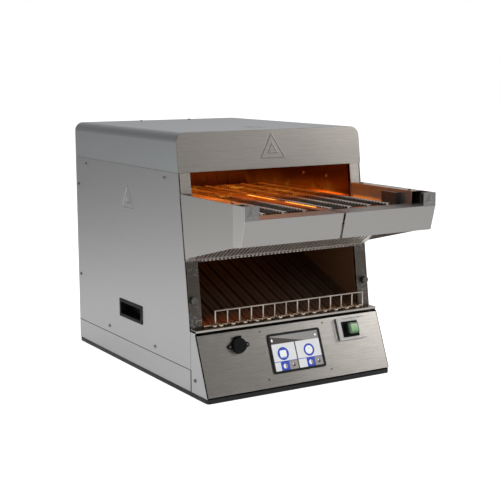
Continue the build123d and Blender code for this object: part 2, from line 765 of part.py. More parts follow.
def chute():
    upper = chute_wire(0)
    lower = chute_wire(-CHUTE_SHEET)
    floor = prism_x(upper + lower[::-1], -LINER_X, LINER_X)
    top = chute_wire(RIB_HEIGHT)
    count = int((2 * LINER_X - 2 * RIB_SIDE_MARGIN) / RIB_PITCH) + 1
    for i in range(count):
        x = (i - (count - 1) / 2) * RIB_PITCH
        floor += prism_x(top[:-2] + upper[:-2][::-1], x - RIB_WIDTH / 2, x + RIB_WIDTH / 2)
    floor += block(-LINER_X, LINER_X, CHUTE_FRONT_Y, CHUTE_FRONT_Y + CHUTE_SHEET,
                   TRAY_LIP_TOP_Z + 2 * TRAY_FLOOR_GAP, CHUTE_FRONT_Z)
    return floor


def left_liner():
    lower = chute_wire(-CHUTE_SHEET)
    setback = LINER_FRONT_GAP + FRAME_RECESS + PLATE
    top_y = front_y(CEILING_Z) + setback
    low_y = front_y(CHUTE_FRONT_Z) + setback
    low_z = ramp_z(low_y) - CHUTE_SHEET / math.cos(CHUTE_ANGLE)
    outline = [(low_y, low_z), (top_y, CEILING_Z), (CHUTE_REAR_Y + CHUTE_SHEET, CEILING_Z)]
    outline.extend(lower[-2:0:-1])
    panel = prism_x(outline, -LINER_X - LINER_SHEET, -LINER_X)
    for y, z in upper_heater_places() + lower_heater_places():
        panel -= rod_x(-LINER_X - CUT, -LINER_X + CUT, y, z, INSULATOR_RADIUS)
    panel -= rod_x(-LINER_X - CUT, -LINER_X + CUT, DRIVE_Y, BELT_AXIS_Z, SHAFT_RADIUS + SHAFT_FIT)
    latch_y = front_y(LATCH_TOP_Z) + LATCH_SETBACK
    latch_plate = block(-LINER_X, -LINER_X + PLATE, latch_y, latch_y + LATCH_WIDTH,
                        LATCH_TOP_Z - LATCH_HEIGHT, LATCH_TOP_Z)
    return panel + latch_plate


def ceiling():
    start = front_y(CEILING_Z) + LINER_FRONT_GAP
    edge = LINER_X + LINER_SHEET
    sheet = block(-edge, edge, start, CHUTE_REAR_Y + CHUTE_SHEET, CEILING_Z, CEILING_Z + SHEET)
    lip = block(-edge, edge, start, start + SHEET, CEILING_Z, BODY_HEIGHT - SHEET)
    return sheet + lip


def insulation():
    start = front_y(CEILING_Z) + LINER_FRONT_GAP + SHEET + WOOL_FRONT_GAP
    edge = LINER_X - WOOL_SIDE_GAP
    top = BODY_HEIGHT - SHEET - WOOL_TOP_GAP
    return block(-edge, edge, start, CHUTE_REAR_Y, CEILING_Z + SHEET, top)


def upper_heater_places():
    return [(y, UPPER_HEATER_Z) for y in spread(HEATER_FIRST_Y, UPPER_HEATER_LAST_Y, UPPER_HEATERS)]


def lower_heater_places():
    return [(y, LOWER_HEATER_Z) for y in spread(HEATER_FIRST_Y, LOWER_HEATER_LAST_Y, LOWER_HEATERS)]


def heaters(places):
    reach = LINER_X + LINER_SHEET + INSULATOR_LENGTH + HEATER_TAIL
    return group([rod_x(-reach, reach, y, z, HEATER_RADIUS) for y, z in places])


def insulators():
    parts = []
    outer_face = LINER_X + LINER_SHEET
    end = LINER_X + INSULATOR_LENGTH
    for y, z in upper_heater_places() + lower_heater_places():
        bush = rod_x(LINER_X, end, y, z, INSULATOR_RADIUS)
        bush += rod_x(outer_face, outer_face + COLLAR_LENGTH, y, z, INSULATOR_RADIUS + COLLAR_WALL)
        bush -= rod_x(LINER_X - CUT, end + CUT, y, z, HEATER_RADIUS)
        parts += [bush, mirrored(bush)]
    return group(parts)


def lower_reflector():
    bottom = BELT_TOP_Z - 2 * BELT_RADIUS + BELT_THICKNESS + REFLECTOR_GAP
    first = HEATER_FIRST_Y - REFLECTOR_MARGIN
    last = LOWER_HEATER_LAST_Y + REFLECTOR_MARGIN / 2
    return block(-LINER_X, LINER_X, first, last, bottom, bottom + REFLECTOR_SHEET)


# ---------------------------------------------------------------- belts
def belt(side):
    """Flat wire belt as a closed loop round its front and rear sprockets."""
    length = DRIVE_Y - IDLER_Y
    middle = (DRIVE_Y + IDLER_Y) / 2
    outer = SlotCenterToCenter(length, 2 * BELT_RADIUS)
    hole = SlotCenterToCenter(length, 2 * (BELT_RADIUS - BELT_THICKNESS))
    ring = Plane.YZ * Pos(middle, BELT_AXIS_Z) * (outer - hole)
    band = Pos(BELT_INNER_X, 0, 0) * extrude(ring, amount=BELT_OUTER_X - BELT_INNER_X)
    return band if side > 0 else mirrored(band)


def sprocket_places():
    first = BELT_INNER_X + SPROCKET_WIDTH
    last = BELT_OUTER_X - SPROCKET_WIDTH
    return spread(first, last, BELT_SPACES + 1)


def roller(y, inner_end, outer_end):
    """Shaft with one toothed disc at each belt edge and between the spaces."""
    shaft = rod_x(inner_end, outer_end, y, BELT_AXIS_Z, SHAFT_RADIUS)
    for x in sprocket_places():
        disc = rod_x(x - SPROCKET_WIDTH / 2, x + SPROCKET_WIDTH / 2, y, BELT_AXIS_Z, SPROCKET_RADIUS)
        notch = Pos(0, SPROCKET_RADIUS, 0) * Rot(0, 90, 0)
        notch *= Cylinder(SPROCKET_NOTCH_RADIUS, 2 * SPROCKET_WIDTH)
        for i in range(SPROCKET_TEETH):
            disc -= Pos(x, y, BELT_AXIS_Z) * Rot(360 / SPROCKET_TEETH * i, 0, 0) * notch
        shaft += disc
    return shaft


def idler(side):
    shape = roller(IDLER_Y, SHAFT_END_X, LINER_X - AXIAL_PLAY)
    return shape if side > 0 else mirrored(shape)


def drive_shaft(side):
    shape = roller(DRIVE_Y, SHAFT_END_X, CHAIN_X + CHAIN_WIDTH / 2 + SHAFT_STUB)
    shape += chain_wheel(DRIVE_Y, BELT_AXIS_Z)
    return shape if side > 0 else mirrored(shape)


def chain_wheel(y, z):
    """Wheel inside a chain loop, narrower than the chain and clear of it."""
    half = CHAIN_WIDTH / 2 - WHEEL_INSET
    radius = CHAIN_PITCH_RADIUS - CHAIN_THICKNESS / 2 - CHAIN_CLEARANCE
    return rod_x(CHAIN_X - half, CHAIN_X + half, y, z, radius)


def shaft_hole(x0, x1, y):
    """Running bore for a belt shaft, cut past both faces."""
    return rod_x(x0 - CUT, x1 + CUT, y, BELT_AXIS_Z, SHAFT_RADIUS + SHAFT_FIT)


def centre_rail():
    edge = RAIL_HALF_WIDTH
    end = BELT_REAR_Y + RAIL_OVERHANG
    post_front = DRIVE_Y - RAIL_POST_DROP
    rail = block(-edge, edge, RAIL_FRONT_Y + NOSE_LENGTH, end, BELT_TOP_Z - RAIL_DROP, BELT_TOP_Z)
    rail += block(-edge, edge, post_front, end, BELT_AXIS_Z - RAIL_POST_DROP, BELT_TOP_Z)
    return rail - shaft_hole(-edge, edge, DRIVE_Y)


def nose_block():
    edge = RAIL_HALF_WIDTH + NOSE_SIDE
    front = block(-edge, edge, RAIL_FRONT_Y, RAIL_FRONT_Y + NOSE_LENGTH, BELT_AXIS_Z - RAIL_POST_DROP,
                  BELT_TOP_Z + NOSE_RISE)
    return front - shaft_hole(-edge, edge, IDLER_Y)


def bearing_block(side):
    inner = LINER_X - BEARING_THICKNESS
    middle = IDLER_Y + BEARING_SETBACK
    body = block(inner, LINER_X, middle - BEARING_WIDTH / 2, middle + BEARING_WIDTH / 2,
                 BELT_AXIS_Z - BEARING_DROP, BEARING_TOP_Z)
    body -= shaft_hole(inner, LINER_X, IDLER_Y)
    return body if side > 0 else mirrored(body)


def drive_bush(side):
    start = LINER_X + LINER_SHEET
    body = rod_x(start, start + BUSH_LENGTH, DRIVE_Y, BELT_AXIS_Z, SHAFT_RADIUS + BUSH_WALL)
    body -= shaft_hole(start, start + BUSH_LENGTH, DRIVE_Y)
    return body if side > 0 else mirrored(body)


def belt_bearings():
    """Idler bearing blocks, rear bushes and the block that holds both idlers in the middle."""
    shapes = [nose_block()]
    for side in (-1, 1):
        shapes += [bearing_block(side), drive_bush(side)]
    return group(shapes)


def crossbars():
    bars = []
    for y in spread(IDLER_Y + CROSSBAR_FRONT_GAP, DRIVE_Y - CROSSBAR_REAR_GAP, CROSSBARS):
        bars.append(block(-LINER_X, LINER_X, y - CROSSBAR_DEPTH / 2, y + CROSSBAR_DEPTH / 2,
                          CROSSBAR_Z, CROSSBAR_Z + CROSSBAR_HEIGHT))
    return group(bars)


# ---------------------------------------------------------------- feed shelf
def shelf_outline(front_y_top):
    return [
        (front_y(SHELF_TOP_Z), SHELF_TOP_Z),
        (front_y_top, SHELF_TOP_Z),
        (SHELF_FOLD_Y, SHELF_FOLD_BOTTOM_Z),
        (front_y(SHELF_REAR_BOTTOM_Z), SHELF_REAR_BOTTOM_Z),
    ]


def shelf_side(side):
    outer = prism_x(shelf_outline(SHELF_FOLD_Y), SHELF_HALF_WIDTH - SHEET, SHELF_HALF_WIDTH)
    inner_x = SHELF_INNER_X
    rear = front_y(SHELF_TOP_Z)
    flange = block(inner_x, SHELF_HALF_WIDTH, SHELF_FOLD_Y, rear, SHELF_TOP_Z - SHEET, SHELF_TOP_Z)
    low_rear = front_y(SHELF_INNER_BOTTOM_Z)
    wall = prism_x([(rear, SHELF_TOP_Z), (SHELF_FOLD_Y, SHELF_TOP_Z),
                    (SHELF_FOLD_Y, SHELF_INNER_BOTTOM_Z), (low_rear, SHELF_INNER_BOTTOM_Z)],
                   inner_x - SHEET + SHELF_WALL_LAP, inner_x + SHELF_WALL_LAP)
    shape = outer + flange + wall
    half_tie = SHELF_TIE_WIDTH / 2
    for y in (rear - SHELF_TIE_SETBACK, SHELF_FOLD_Y + SHELF_TIE_FRONT_GAP):
        shape += block(inner_x, SHELF_HALF_WIDTH, y - half_tie, y + half_tie, SHELF_INNER_BOTTOM_Z,
                       SHELF_INNER_BOTTOM_Z + SHEET)
    return shape if side > 0 else mirrored(shape)


def shelf_front(side):
    inner_edge = SHELF_SPLIT / 2
    outer_edge = SHELF_HALF_WIDTH
    face = [
        (SHELF_FRONT_Y, SHELF_FRONT_TOP_Z),
        (SHELF_FRONT_BOTTOM_Y, SHELF_FRONT_BOTTOM_Z),
        (SHELF_FRONT_BOTTOM_Y + SHEET, SHELF_FRONT_BOTTOM_Z),
        (SHELF_FRONT_Y + SHEET, SHELF_FRONT_TOP_Z),
    ]
    shape = prism_x(face, inner_edge, outer_edge)
    ledge_z = SHELF_FRONT_TOP_Z - SHEET
    shape += block(inner_edge, LINER_X - SEAM, SHELF_FRONT_Y + SHEET / 2,
                   SHELF_FRONT_Y + SHELF_LEDGE, ledge_z, SHELF_FRONT_TOP_Z)
    shape += block(inner_edge, outer_edge - SHEET, SHELF_FRONT_Y + SHEET / 2,
                   SHELF_FOLD_Y - SEAM, ledge_z, SHELF_FRONT_TOP_Z)
    shape += block(inner_edge, outer_edge, SHELF_FRONT_BOTTOM_Y, SHELF_FRONT_BOTTOM_Y + SHELF_RETURN,
                   SHELF_FRONT_BOTTOM_Z, SHELF_FRONT_BOTTOM_Z + SHEET)
    cheek = [
        (SHELF_FOLD_Y - SEAM, SHELF_TOP_Z),
        (SHELF_FRONT_Y, SHELF_TOP_Z),
        (SHELF_FRONT_Y, SHELF_FRONT_TOP_Z),
        (SHELF_FRONT_BOTTOM_Y, SHELF_FRONT_BOTTOM_Z),
        (SHELF_FOLD_Y - SEAM, SHELF_FOLD_BOTTOM_Z),
    ]
    shape += prism_x(cheek, outer_edge - SHEET, outer_edge)
    shape += block(outer_edge - TAB_WIDTH, outer_edge, SHELF_FRONT_Y, SHELF_FRONT_Y + SHEET,
                   SHELF_FRONT_TOP_Z - SHEET, SHELF_TOP_Z)
    shape += block(outer_edge - TAB_WIDTH, outer_edge, SHELF_FRONT_Y, SHELF_FRONT_Y + TAB_FOLD,
                   SHELF_TOP_Z - SHEET, SHELF_TOP_Z)
    if side < 0:
        shape = mirrored(shape)
    middle = side * (outer_edge - TAB_WIDTH / 2)
    tab = Plane(origin=(0, SHELF_FRONT_Y, 0), x_dir=(1, 0, 0), z_dir=(0, -1, 0))
    height = (SHELF_FRONT_TOP_Z + SHELF_TOP_Z) / 2 - SHEET
    return with_mark(shape, tab, middle, height, TAB_MARK_WIDTH)


def pan_z(y):
    """Height of the pan's upper face: a ramp that rises from its toe, then level up to the fold."""
    toe_z = SHELF_REAR_BOTTOM_Z - PAN_TOE_DROP
    rise = (front_y(toe_z) + FRAME_RECESS - PAN_SEAT - y) * math.tan(math.radians(PAN_RAMP_SLOPE))
    return min(toe_z + rise, SHELF_FOLD_BOTTOM_Z) + SHEET


def shelf_pan():
    """Slotted pan below the belts, between the side plates."""
    toe_z = SHELF_REAR_BOTTOM_Z - PAN_TOE_DROP
    rear = front_y(toe_z) + FRAME_RECESS - PAN_SEAT
    knee = rear - (SHELF_FOLD_BOTTOM_Z - toe_z) / math.tan(math.radians(PAN_RAMP_SLOPE))
    fold = SHELF_FOLD_Y + PAN_SEAT
    front = SHELF_FRONT_BOTTOM_Y + SHELF_RETURN
    front_z = SHELF_FRONT_BOTTOM_Z + 2 * SHEET + PAN_SEAT
    upper = [(rear, pan_z(rear)), (knee, pan_z(knee)), (fold, pan_z(fold)), (front, front_z),
             (front - PAN_END_LAP, front_z)]
    lower = [(y, z - SHEET) for y, z in upper]
    edge = SHELF_HALF_WIDTH - SHEET
    pan = prism_x(upper + lower[::-1], -edge, edge)
    wall = upper[:3] + [(y, z + PAN_FLANGE) for y, z in upper[2::-1]]
    pan += prism_x(wall, -edge, -edge + SHEET)
    pan += prism_x(wall, edge - SHEET, edge)
    count = int((2 * edge - 2 * SLOT_MARGIN) / SLOT_PITCH)
    row_pitch = PAN_SLOT_LENGTH + SLOT_PITCH
    rows = int((rear - fold - SLOT_MARGIN) / row_pitch)
    slots = []
    for i in range(count):
        x = (i - (count - 1) / 2) * SLOT_PITCH
        for row in range(rows):
            y = rear - PAN_TOE_MARGIN - row * row_pitch
            slots.append(block(x - SLOT_WIDTH / 2, x + SLOT_WIDTH / 2, y - PAN_SLOT_LENGTH, y,
                               pan_z(y) - PAN_FLANGE, pan_z(y - PAN_SLOT_LENGTH) + PAN_FLANGE))
    return pan - Compound(children=slots)


# ---------------------------------------------------------------- tray and rack
def crumb_tray():
    floor_z = DECK_Z + TRAY_FLOOR_GAP
    body = block(-TRAY_HALF_WIDTH, TRAY_HALF_WIDTH, CHEEK_SEAM_Y, TRAY_BACK_Y, floor_z,
                 floor_z + TRAY_WALL_HEIGHT)
    body -= block(-TRAY_HALF_WIDTH + SHEET, TRAY_HALF_WIDTH - SHEET, CHEEK_SEAM_Y + SHEET,
                  TRAY_BACK_Y - SHEET, floor_z + SHEET, floor_z + TRAY_WALL_HEIGHT + CUT)
    body += block(-TRAY_HALF_WIDTH, TRAY_HALF_WIDTH, CHEEK_SEAM_Y, CHEEK_SEAM_Y + SHEET, floor_z,
                  TRAY_LIP_TOP_Z)
    edge = HALF - TRAY_SIDE_GAP
    lip = block(-edge, edge, CONSOLE_TOP_Y, CHEEK_SEAM_Y + SHEET, TRAY_LIP_TOP_Z - SHEET, TRAY_LIP_TOP_Z)
    lip += block(-edge, edge, CONSOLE_TOP_Y, CONSOLE_TOP_Y + SHEET, TRAY_LIP_TOP_Z - TRAY_LIP_DROP,
                 TRAY_LIP_TOP_Z)
    return body + lip


def wire_rack():
    """Guard of bent wire: a top rail on uprights, and hairpins lying on the landing."""
    foot_z = TRAY_LIP_TOP_Z + RACK_SEAT_GAP + RACK_BEAD
    top_z = foot_z + RACK_HEIGHT
    bars = spread(RACK_FIRST_X, RACK_LAST_X, RACK_BARS)
    front = RACK_Y - RACK_TAIL
    end_x = bars[0] - 3 * RACK_HAIRPIN
    rack = rod_x(bars[0], bars[-1], RACK_Y, top_z, RACK_RAIL)
    rack += rod_x(end_x, bars[-1], RACK_Y, foot_z, RACK_RAIL)
    beads = [(end_x, RACK_Y, foot_z)]
    for x in [end_x + RACK_HAIRPIN] + bars:
        for tail_x in (x - RACK_HAIRPIN, x):
            rack += rod_y(front, RACK_Y, tail_x, foot_z, RACK_WIRE)
            beads.append((tail_x, front, foot_z))
        rack += rod_x(x - RACK_HAIRPIN, x, front, foot_z, RACK_WIRE)
    for x in bars:
        rack += rod_z(foot_z, top_z, x, RACK_Y, RACK_WIRE)
        beads += [(x, RACK_Y, foot_z), (x, RACK_Y, top_z)]
    for x, y, z in beads:
        rack += Pos(x, y, z) * Sphere(RACK_BEAD)
    return rack


# ---------------------------------------------------------------- console
def console_slab(x, drop, width, height, w0, w1):
    """Box on the console face, centred at x and a distance below its top edge."""
    return slab(CONSOLE, x - width / 2, x + width / 2, -drop - height / 2, -drop + height / 2, w0, w1)


def console_panel():
    panel = slab(CONSOLE, -HALF, HALF, -CONSOLE_LENGTH, 0, -PLATE, 0)
    panel -= console_slab(BEZEL_X, BEZEL_DROP, SCREEN_WIDTH, SCREEN_HEIGHT, -PLATE - CUT, CUT)
    panel -= on_plane(CONSOLE, USB_X, -USB_DROP, Cylinder(USB_BARREL_RADIUS, 2 * (PLATE + CUT)))
    panel -= console_slab(SWITCH_X, SWITCH_DROP, SWITCH_WIDTH - 2 * SWITCH_BEZEL,
                          SWITCH_HEIGHT - 2 * SWITCH_BEZEL, -PLATE - CUT, CUT)
    back_y, back_z = console_point(0, -PLATE)
    panel += block(-INNER, INNER, back_y - PLATE / 2, CHEEK_SEAM_Y - SEAM, back_z - SHEET, back_z)
    low_y, low_z = console_point(CONSOLE_LENGTH - PLATE, -PLATE / 2)
    panel += block(-INNER, INNER, low_y, low_y + CONSOLE_RETURN, low_z, low_z + SHEET)
    return panel


def display_bezel():
    """Frame with rounded corners round the screen."""
    face = extrude(RectangleRounded(BEZEL_WIDTH, BEZEL_HEIGHT, BEZEL_CORNER), amount=BEZEL_LIP)
    frame = on_plane(CONSOLE, BEZEL_X, -BEZEL_DROP, face)
    return frame - console_slab(BEZEL_X, BEZEL_DROP, SCREEN_WIDTH, SCREEN_HEIGHT, -CUT, CUT)


def touch_screen():
    return console_slab(BEZEL_X, BEZEL_DROP, SCREEN_WIDTH - SEAM, SCREEN_HEIGHT - SEAM, -SCREEN_DEPTH,
                        BEZEL_LIP / 2)


def usb_hinge(radius, width, side=0):
    """Round piece on the axis of the cap's hinge, above the round flange."""
    v = -USB_DROP + USB_FLANGE_RADIUS + USB_HINGE_RISE
    piece = Rot(0, 90, 0) * Cylinder(radius, width)
    return on_plane(CONSOLE, USB_X + side * USB_KNUCKLE_X, v, piece, USB_HINGE_OUT)


def usb_port():
    flange = USB_FLANGE_THICKNESS
    ear = Cylinder(USB_EAR_RADIUS, flange)
    body = on_plane(CONSOLE, USB_X, -USB_DROP, Cylinder(USB_FLANGE_RADIUS, flange), flange / 2)
    for side in (-1, 1):
        body += on_plane(CONSOLE, USB_X + side * USB_SCREW_SPAN / 2, -USB_DROP, ear, flange / 2)
    body += console_slab(USB_X, USB_DROP, USB_SCREW_SPAN, 2 * USB_EAR_RADIUS, 0, flange)
    barrel = Cylinder(USB_BARREL_RADIUS - SWITCH_FIT, USB_BARREL_DEPTH)
    body += on_plane(CONSOLE, USB_X, -USB_DROP, barrel, SEAM - USB_BARREL_DEPTH / 2)
    body -= console_slab(USB_X, USB_DROP, USB_SOCKET_WIDTH, USB_SOCKET_HEIGHT, -USB_SOCKET_DEPTH, CUT)
    post_drop = USB_DROP - USB_FLANGE_RADIUS - USB_HINGE_RISE / 2
    post_height = USB_FLANGE_RADIUS - USB_CAP_RADIUS + USB_KNUCKLE_RADIUS
    for side in (-1, 1):
        x = USB_X + side * USB_KNUCKLE_X
        body += usb_hinge(USB_KNUCKLE_RADIUS, USB_KNUCKLE_WIDTH, side)
        body += console_slab(x, post_drop, USB_KNUCKLE_WIDTH, post_height - 2 * SEAM, 0, USB_HINGE_OUT)
    return body + usb_hinge(USB_PIN_RADIUS, 2 * USB_KNUCKLE_X + USB_KNUCKLE_WIDTH)


def usb_cap():
    out = USB_FLANGE_THICKNESS + USB_CAP_GAP + USB_CAP_HEIGHT / 2
    cap = on_plane(CONSOLE, USB_X, -USB_DROP, Cylinder(USB_CAP_RADIUS, USB_CAP_HEIGHT), out)
    half = USB_EYE_WIDTH / 2
    cap += slab(CONSOLE, USB_X - half, USB_X + half, -USB_DROP + USB_CAP_RADIUS - USB_STRAP_THICKNESS,
                -USB_DROP + USB_FLANGE_RADIUS + USB_HINGE_RISE,
                USB_HINGE_OUT - USB_STRAP_THICKNESS / 2, USB_HINGE_OUT + USB_STRAP_THICKNESS / 2)
    cap += usb_hinge(USB_EYE_RADIUS, USB_EYE_WIDTH)
    return cap - usb_hinge(USB_PIN_RADIUS + PIN_FIT, USB_EYE_WIDTH + CUT)


def switch_housing():
    body = console_slab(SWITCH_X, SWITCH_DROP, SWITCH_WIDTH, SWITCH_HEIGHT, 0, SWITCH_FACE)
    rim = 2 * (SWITCH_BEZEL + SWITCH_FIT)
    body += console_slab(SWITCH_X, SWITCH_DROP, SWITCH_WIDTH - rim, SWITCH_HEIGHT - rim, -SWITCH_DEPTH, 0)
    well_height = ROCKER_HEIGHT + 2 * WELL_CLEARANCE
    body -= console_slab(SWITCH_X, SWITCH_DROP, ROCKER_WIDTH + 2 * WELL_CLEARANCE, well_height,
                         -WELL_DEPTH, CUT)
    pin = Rot(90, 0, 0) * Cylinder(ROCKER_PIN_RADIUS, well_height + SWITCH_BEZEL / 2)
    return body + on_plane(CONSOLE, SWITCH_X, -SWITCH_DROP, pin, -ROCKER_PIVOT_DEPTH)


def power_rocker():
    """Rocker key with a tall rounded cap, drawn with its left side raised."""
    cap = extrude(RectangleRounded(ROCKER_CAP_WIDTH, ROCKER_HEIGHT, ROCKER_CAP_CORNER), amount=ROCKER_RISE)
    cap = fillet(cap.edges().group_by(Axis.Z)[-1], ROCKER_CAP_EDGE)
    key = Box(ROCKER_WIDTH, ROCKER_HEIGHT, 2 * ROCKER_DEPTH) + cap
    key -= Rot(90, 0, 0) * Cylinder(ROCKER_PIN_RADIUS + PIN_FIT, ROCKER_HEIGHT + CUT)
    key = Rot(0, ROCKER_SWING, 0) * key
    return on_plane(CONSOLE, SWITCH_X, -SWITCH_DROP, key, -ROCKER_PIVOT_DEPTH)


def switch_guard():
    """Bent strip open on the right: two arms on a cross plate, with a hole in each arm end."""
    left = SWITCH_X + GUARD_SHIFT_X - GUARD_WIDTH / 2
    right = left + GUARD_WIDTH
    middle = -SWITCH_DROP - GUARD_SHIFT_DROP
    low = middle - GUARD_HEIGHT / 2
    high = middle + GUARD_HEIGHT / 2
    plate = slab(CONSOLE, left, right - GUARD_ARM_LENGTH, low, high, 0, SHEET)
    plate -= slab(CONSOLE, SWITCH_X - SWITCH_WIDTH / 2 - SEAM, right + CUT,
                  -SWITCH_DROP - SWITCH_HEIGHT / 2 - SEAM, -SWITCH_DROP + SWITCH_HEIGHT / 2 + SEAM,
                  -CUT, CUT)
    for v0, v1 in ((low, low + SHEET), (high - SHEET, high)):
        plate += slab(CONSOLE, left, right, v0, v1, 0, GUARD_STANDOFF)
    plate += slab(CONSOLE, left, left + SHEET, low, high, 0, GUARD_STANDOFF)
    bore = Rot(90, 0, 0) * Cylinder(GUARD_HOLE_RADIUS, 2 * GUARD_HEIGHT)
    return plate - on_plane(CONSOLE, right - GUARD_HOLE_INSET, middle, bore, GUARD_STANDOFF / 2)


def console_studs():
    head = Pos(0, 0, STUD_HEIGHT / 2) * Cylinder(STUD_RADIUS, STUD_HEIGHT)
    studs = []
    for x in (-STUD_SPAN_X / 2, STUD_SPAN_X / 2):
        for v in (-BEZEL_DROP - STUD_SPAN_Y / 2, -BEZEL_DROP + STUD_SPAN_Y / 2):
            studs.append(on_plane(CONSOLE, x, v, head))
    return group(studs)


# ---------------------------------------------------------------- handles and fasteners
def handle_block(margin, x0, x1):
    """Box through the right handle, a margin inside its frame's outer edge."""
    half_y = HANDLE_WIDTH / 2 - margin
    half_z = HANDLE_HEIGHT / 2 - margin
    return block(x0, x1, HANDLE_Y - half_y, HANDLE_Y + half_y, HANDLE_Z - half_z, HANDLE_Z + half_z)


def handle_cup(side):
    floor = HALF - HANDLE_DEPTH
    lip = handle_block(0, HALF, HALF + HANDLE_LIP)
    cup = handle_block(HANDLE_FRAME + SWITCH_FIT, floor, HALF + HANDLE_LIP / 2)
    inside = handle_block(HANDLE_FRAME + HANDLE_WALL, floor + HANDLE_WALL, HALF + CUT)
    shape = lip + cup - inside
    return shape if side > 0 else mirrored(shape)


def side_screw_heads():
    rear_y = BACK_Y - REAR_SCREW_INSET
    places = [(y, BASE_SEAM_Z + LOWER_SCREW_RISE) for y in LOWER_SCREW_PLACES]
    places += [(y, HOOD_SEAM_Z - UPPER_SCREW_DROP) for y in UPPER_SCREW_PLACES]
    places += [(rear_y, BASE_SEAM_Z + REAR_SCREW_RISE), (rear_y, HOOD_SEAM_Z - REAR_SCREW_DROP)]
    places.append((CHEEK_SEAM_Y - CHEEK_SCREW_INSET, SKIRT_BOTTOM_Z + CHEEK_SCREW_RISE))
    heads = []
    for y, z in places:
        place = Plane(origin=(HALF, y, z), x_dir=(0, 1, 0), z_dir=(1, 0, 0))
        heads.append(place.location * button_head())
    return heads + [mirrored(head) for head in heads]


def top_screw_heads():
    y = BACK_Y - TOP_SCREW_INSET
    return [Pos(x, y, BODY_HEIGHT) * button_head() for x in (-TOP_SCREW_X, TOP_SCREW_X)]


def shelf_screw_heads():
    heads = []
    for y in (front_y(SHELF_TOP_Z) - SHELF_SCREW_SETBACK, SHELF_FOLD_Y + SHELF_SCREW_FRONT_GAP):
        head = Pos(SHELF_HALF_WIDTH - SHELF_SCREW_INSET, y, SHELF_TOP_Z) * button_head()
        heads += [head, mirrored(head)]
    return heads


def liner_screw_heads():
    heads = []
    for y in LINER_SCREW_PLACES:
        place = Plane(origin=(-LINER_X, y, BELT_TOP_Z + LINER_SCREW_RISE), x_dir=(0, 1, 0),
                      z_dir=(1, 0, 0))
        head = place.location * button_head()
        heads += [head, mirrored(head)]
    return heads


def button_screws():
    heads = side_screw_heads() + top_screw_heads() + shelf_screw_heads() + liner_screw_heads()
    return group(heads)


def thumbscrew(side):
    knob = Pos(0, 0, KNOB_LENGTH / 2) * Cylinder(KNOB_RADIUS, KNOB_LENGTH)
    knob = chamfer(knob.edges().group_by(Axis.Z)[-1], KNOB_GROOVE_RADIUS)
    groove = Pos(KNOB_RADIUS + KNOB_GROOVE_RADIUS / 2, 0, KNOB_LENGTH / 2)
    groove *= Cylinder(KNOB_GROOVE_RADIUS, KNOB_LENGTH + CUT)
    for i in range(KNOB_GROOVES):
        knob -= Rot(0, 0, 360 / KNOB_GROOVES * i) * groove
    knob += Pos(0, 0, -KNOB_STEM_LENGTH / 2) * Cylinder(KNOB_STEM_RADIUS, KNOB_STEM_LENGTH)
    return on_plane(FRONT, side * KNOB_X, front_v(KNOB_Z), knob, KNOB_GAP - FRAME_RECESS)


# ---------------------------------------------------------------- drive and electrics
def gearmotor(side):
    outer = HALF - GEARBOX_SIDE_GAP
    inner = outer - GEARBOX_LENGTH
    half = GEARBOX_SIZE / 2
    body = block(inner, outer, MOTOR_Y - half, MOTOR_Y + half, MOTOR_Z - half, MOTOR_Z + half)
    body += rod_x(inner - MOTOR_LENGTH, inner, MOTOR_Y, MOTOR_Z, MOTOR_RADIUS)
    half_foot = MOTOR_FOOT_WIDTH / 2
    body += block(inner - MOTOR_LENGTH, outer, MOTOR_Y - half_foot, MOTOR_Y + half_foot, PAN_TOP,
                  MOTOR_Z - MOTOR_RADIUS + MOTOR_FOOT_LAP)
    body -= rod_x(outer - GEARBOX_BORE_DEPTH, HALF, MOTOR_Y, MOTOR_Z, SHAFT_RADIUS + SHAFT_FIT)
    return body if side > 0 else mirrored(body)


def motor_pinion(side):
    start = HALF - GEARBOX_SIDE_GAP - GEARBOX_BORE_DEPTH + AXIAL_PLAY
    shape = rod_x(start, CHAIN_X + CHAIN_WIDTH / 2 + SHAFT_STUB, MOTOR_Y, MOTOR_Z, SHAFT_RADIUS)
    shape += chain_wheel(MOTOR_Y, MOTOR_Z)
    return shape if side > 0 else mirrored(shape)


def drive_chain(side):
    """Closed chain loop from the gearmotor's sprocket up to the belt's drive shaft."""
    dy = DRIVE_Y - MOTOR_Y
    dz = BELT_AXIS_Z - MOTOR_Z
    length = math.hypot(dy, dz)
    angle = math.degrees(math.atan2(dz, dy))
    outer = SlotCenterToCenter(length, 2 * CHAIN_PITCH_RADIUS + CHAIN_THICKNESS)
    hole = SlotCenterToCenter(length, 2 * CHAIN_PITCH_RADIUS - CHAIN_THICKNESS)
    middle = Pos((DRIVE_Y + MOTOR_Y) / 2, (BELT_AXIS_Z + MOTOR_Z) / 2)
    ring = Plane.YZ * middle * Rot(0, 0, angle) * (outer - hole)
    loop = Pos(CHAIN_X - CHAIN_WIDTH / 2, 0, 0) * extrude(ring, amount=CHAIN_WIDTH)
    return loop if side > 0 else mirrored(loop)


def fan_rod(y0, y1, radius):
    """Round bar on the fan's axis."""
    return rod_y(y0, y1, FAN_X, FAN_Z, radius)


def fan_frame():
    back = BACK_Y - SHEET
    front = back - FAN_DEPTH
    strut_back = front + FAN_STRUT_DEPTH
    half = FAN_SIZE / 2
    frame = block(FAN_X - half, FAN_X + half, front, back, FAN_Z - half, FAN_Z + half)
    frame -= fan_rod(front - CUT, back + CUT, half - FAN_RIM)
    for turn in (45, 135):
        strut = Box(FAN_SIZE, FAN_STRUT_DEPTH, FAN_STRUT_WIDTH)
        frame += Pos(FAN_X, (front + strut_back) / 2, FAN_Z) * Rot(0, turn, 0) * strut
    frame += fan_rod(front, strut_back, FAN_HUB_RADIUS)
    return frame + fan_rod(front, back - FAN_PIN_SETBACK, FAN_PIN_RADIUS)


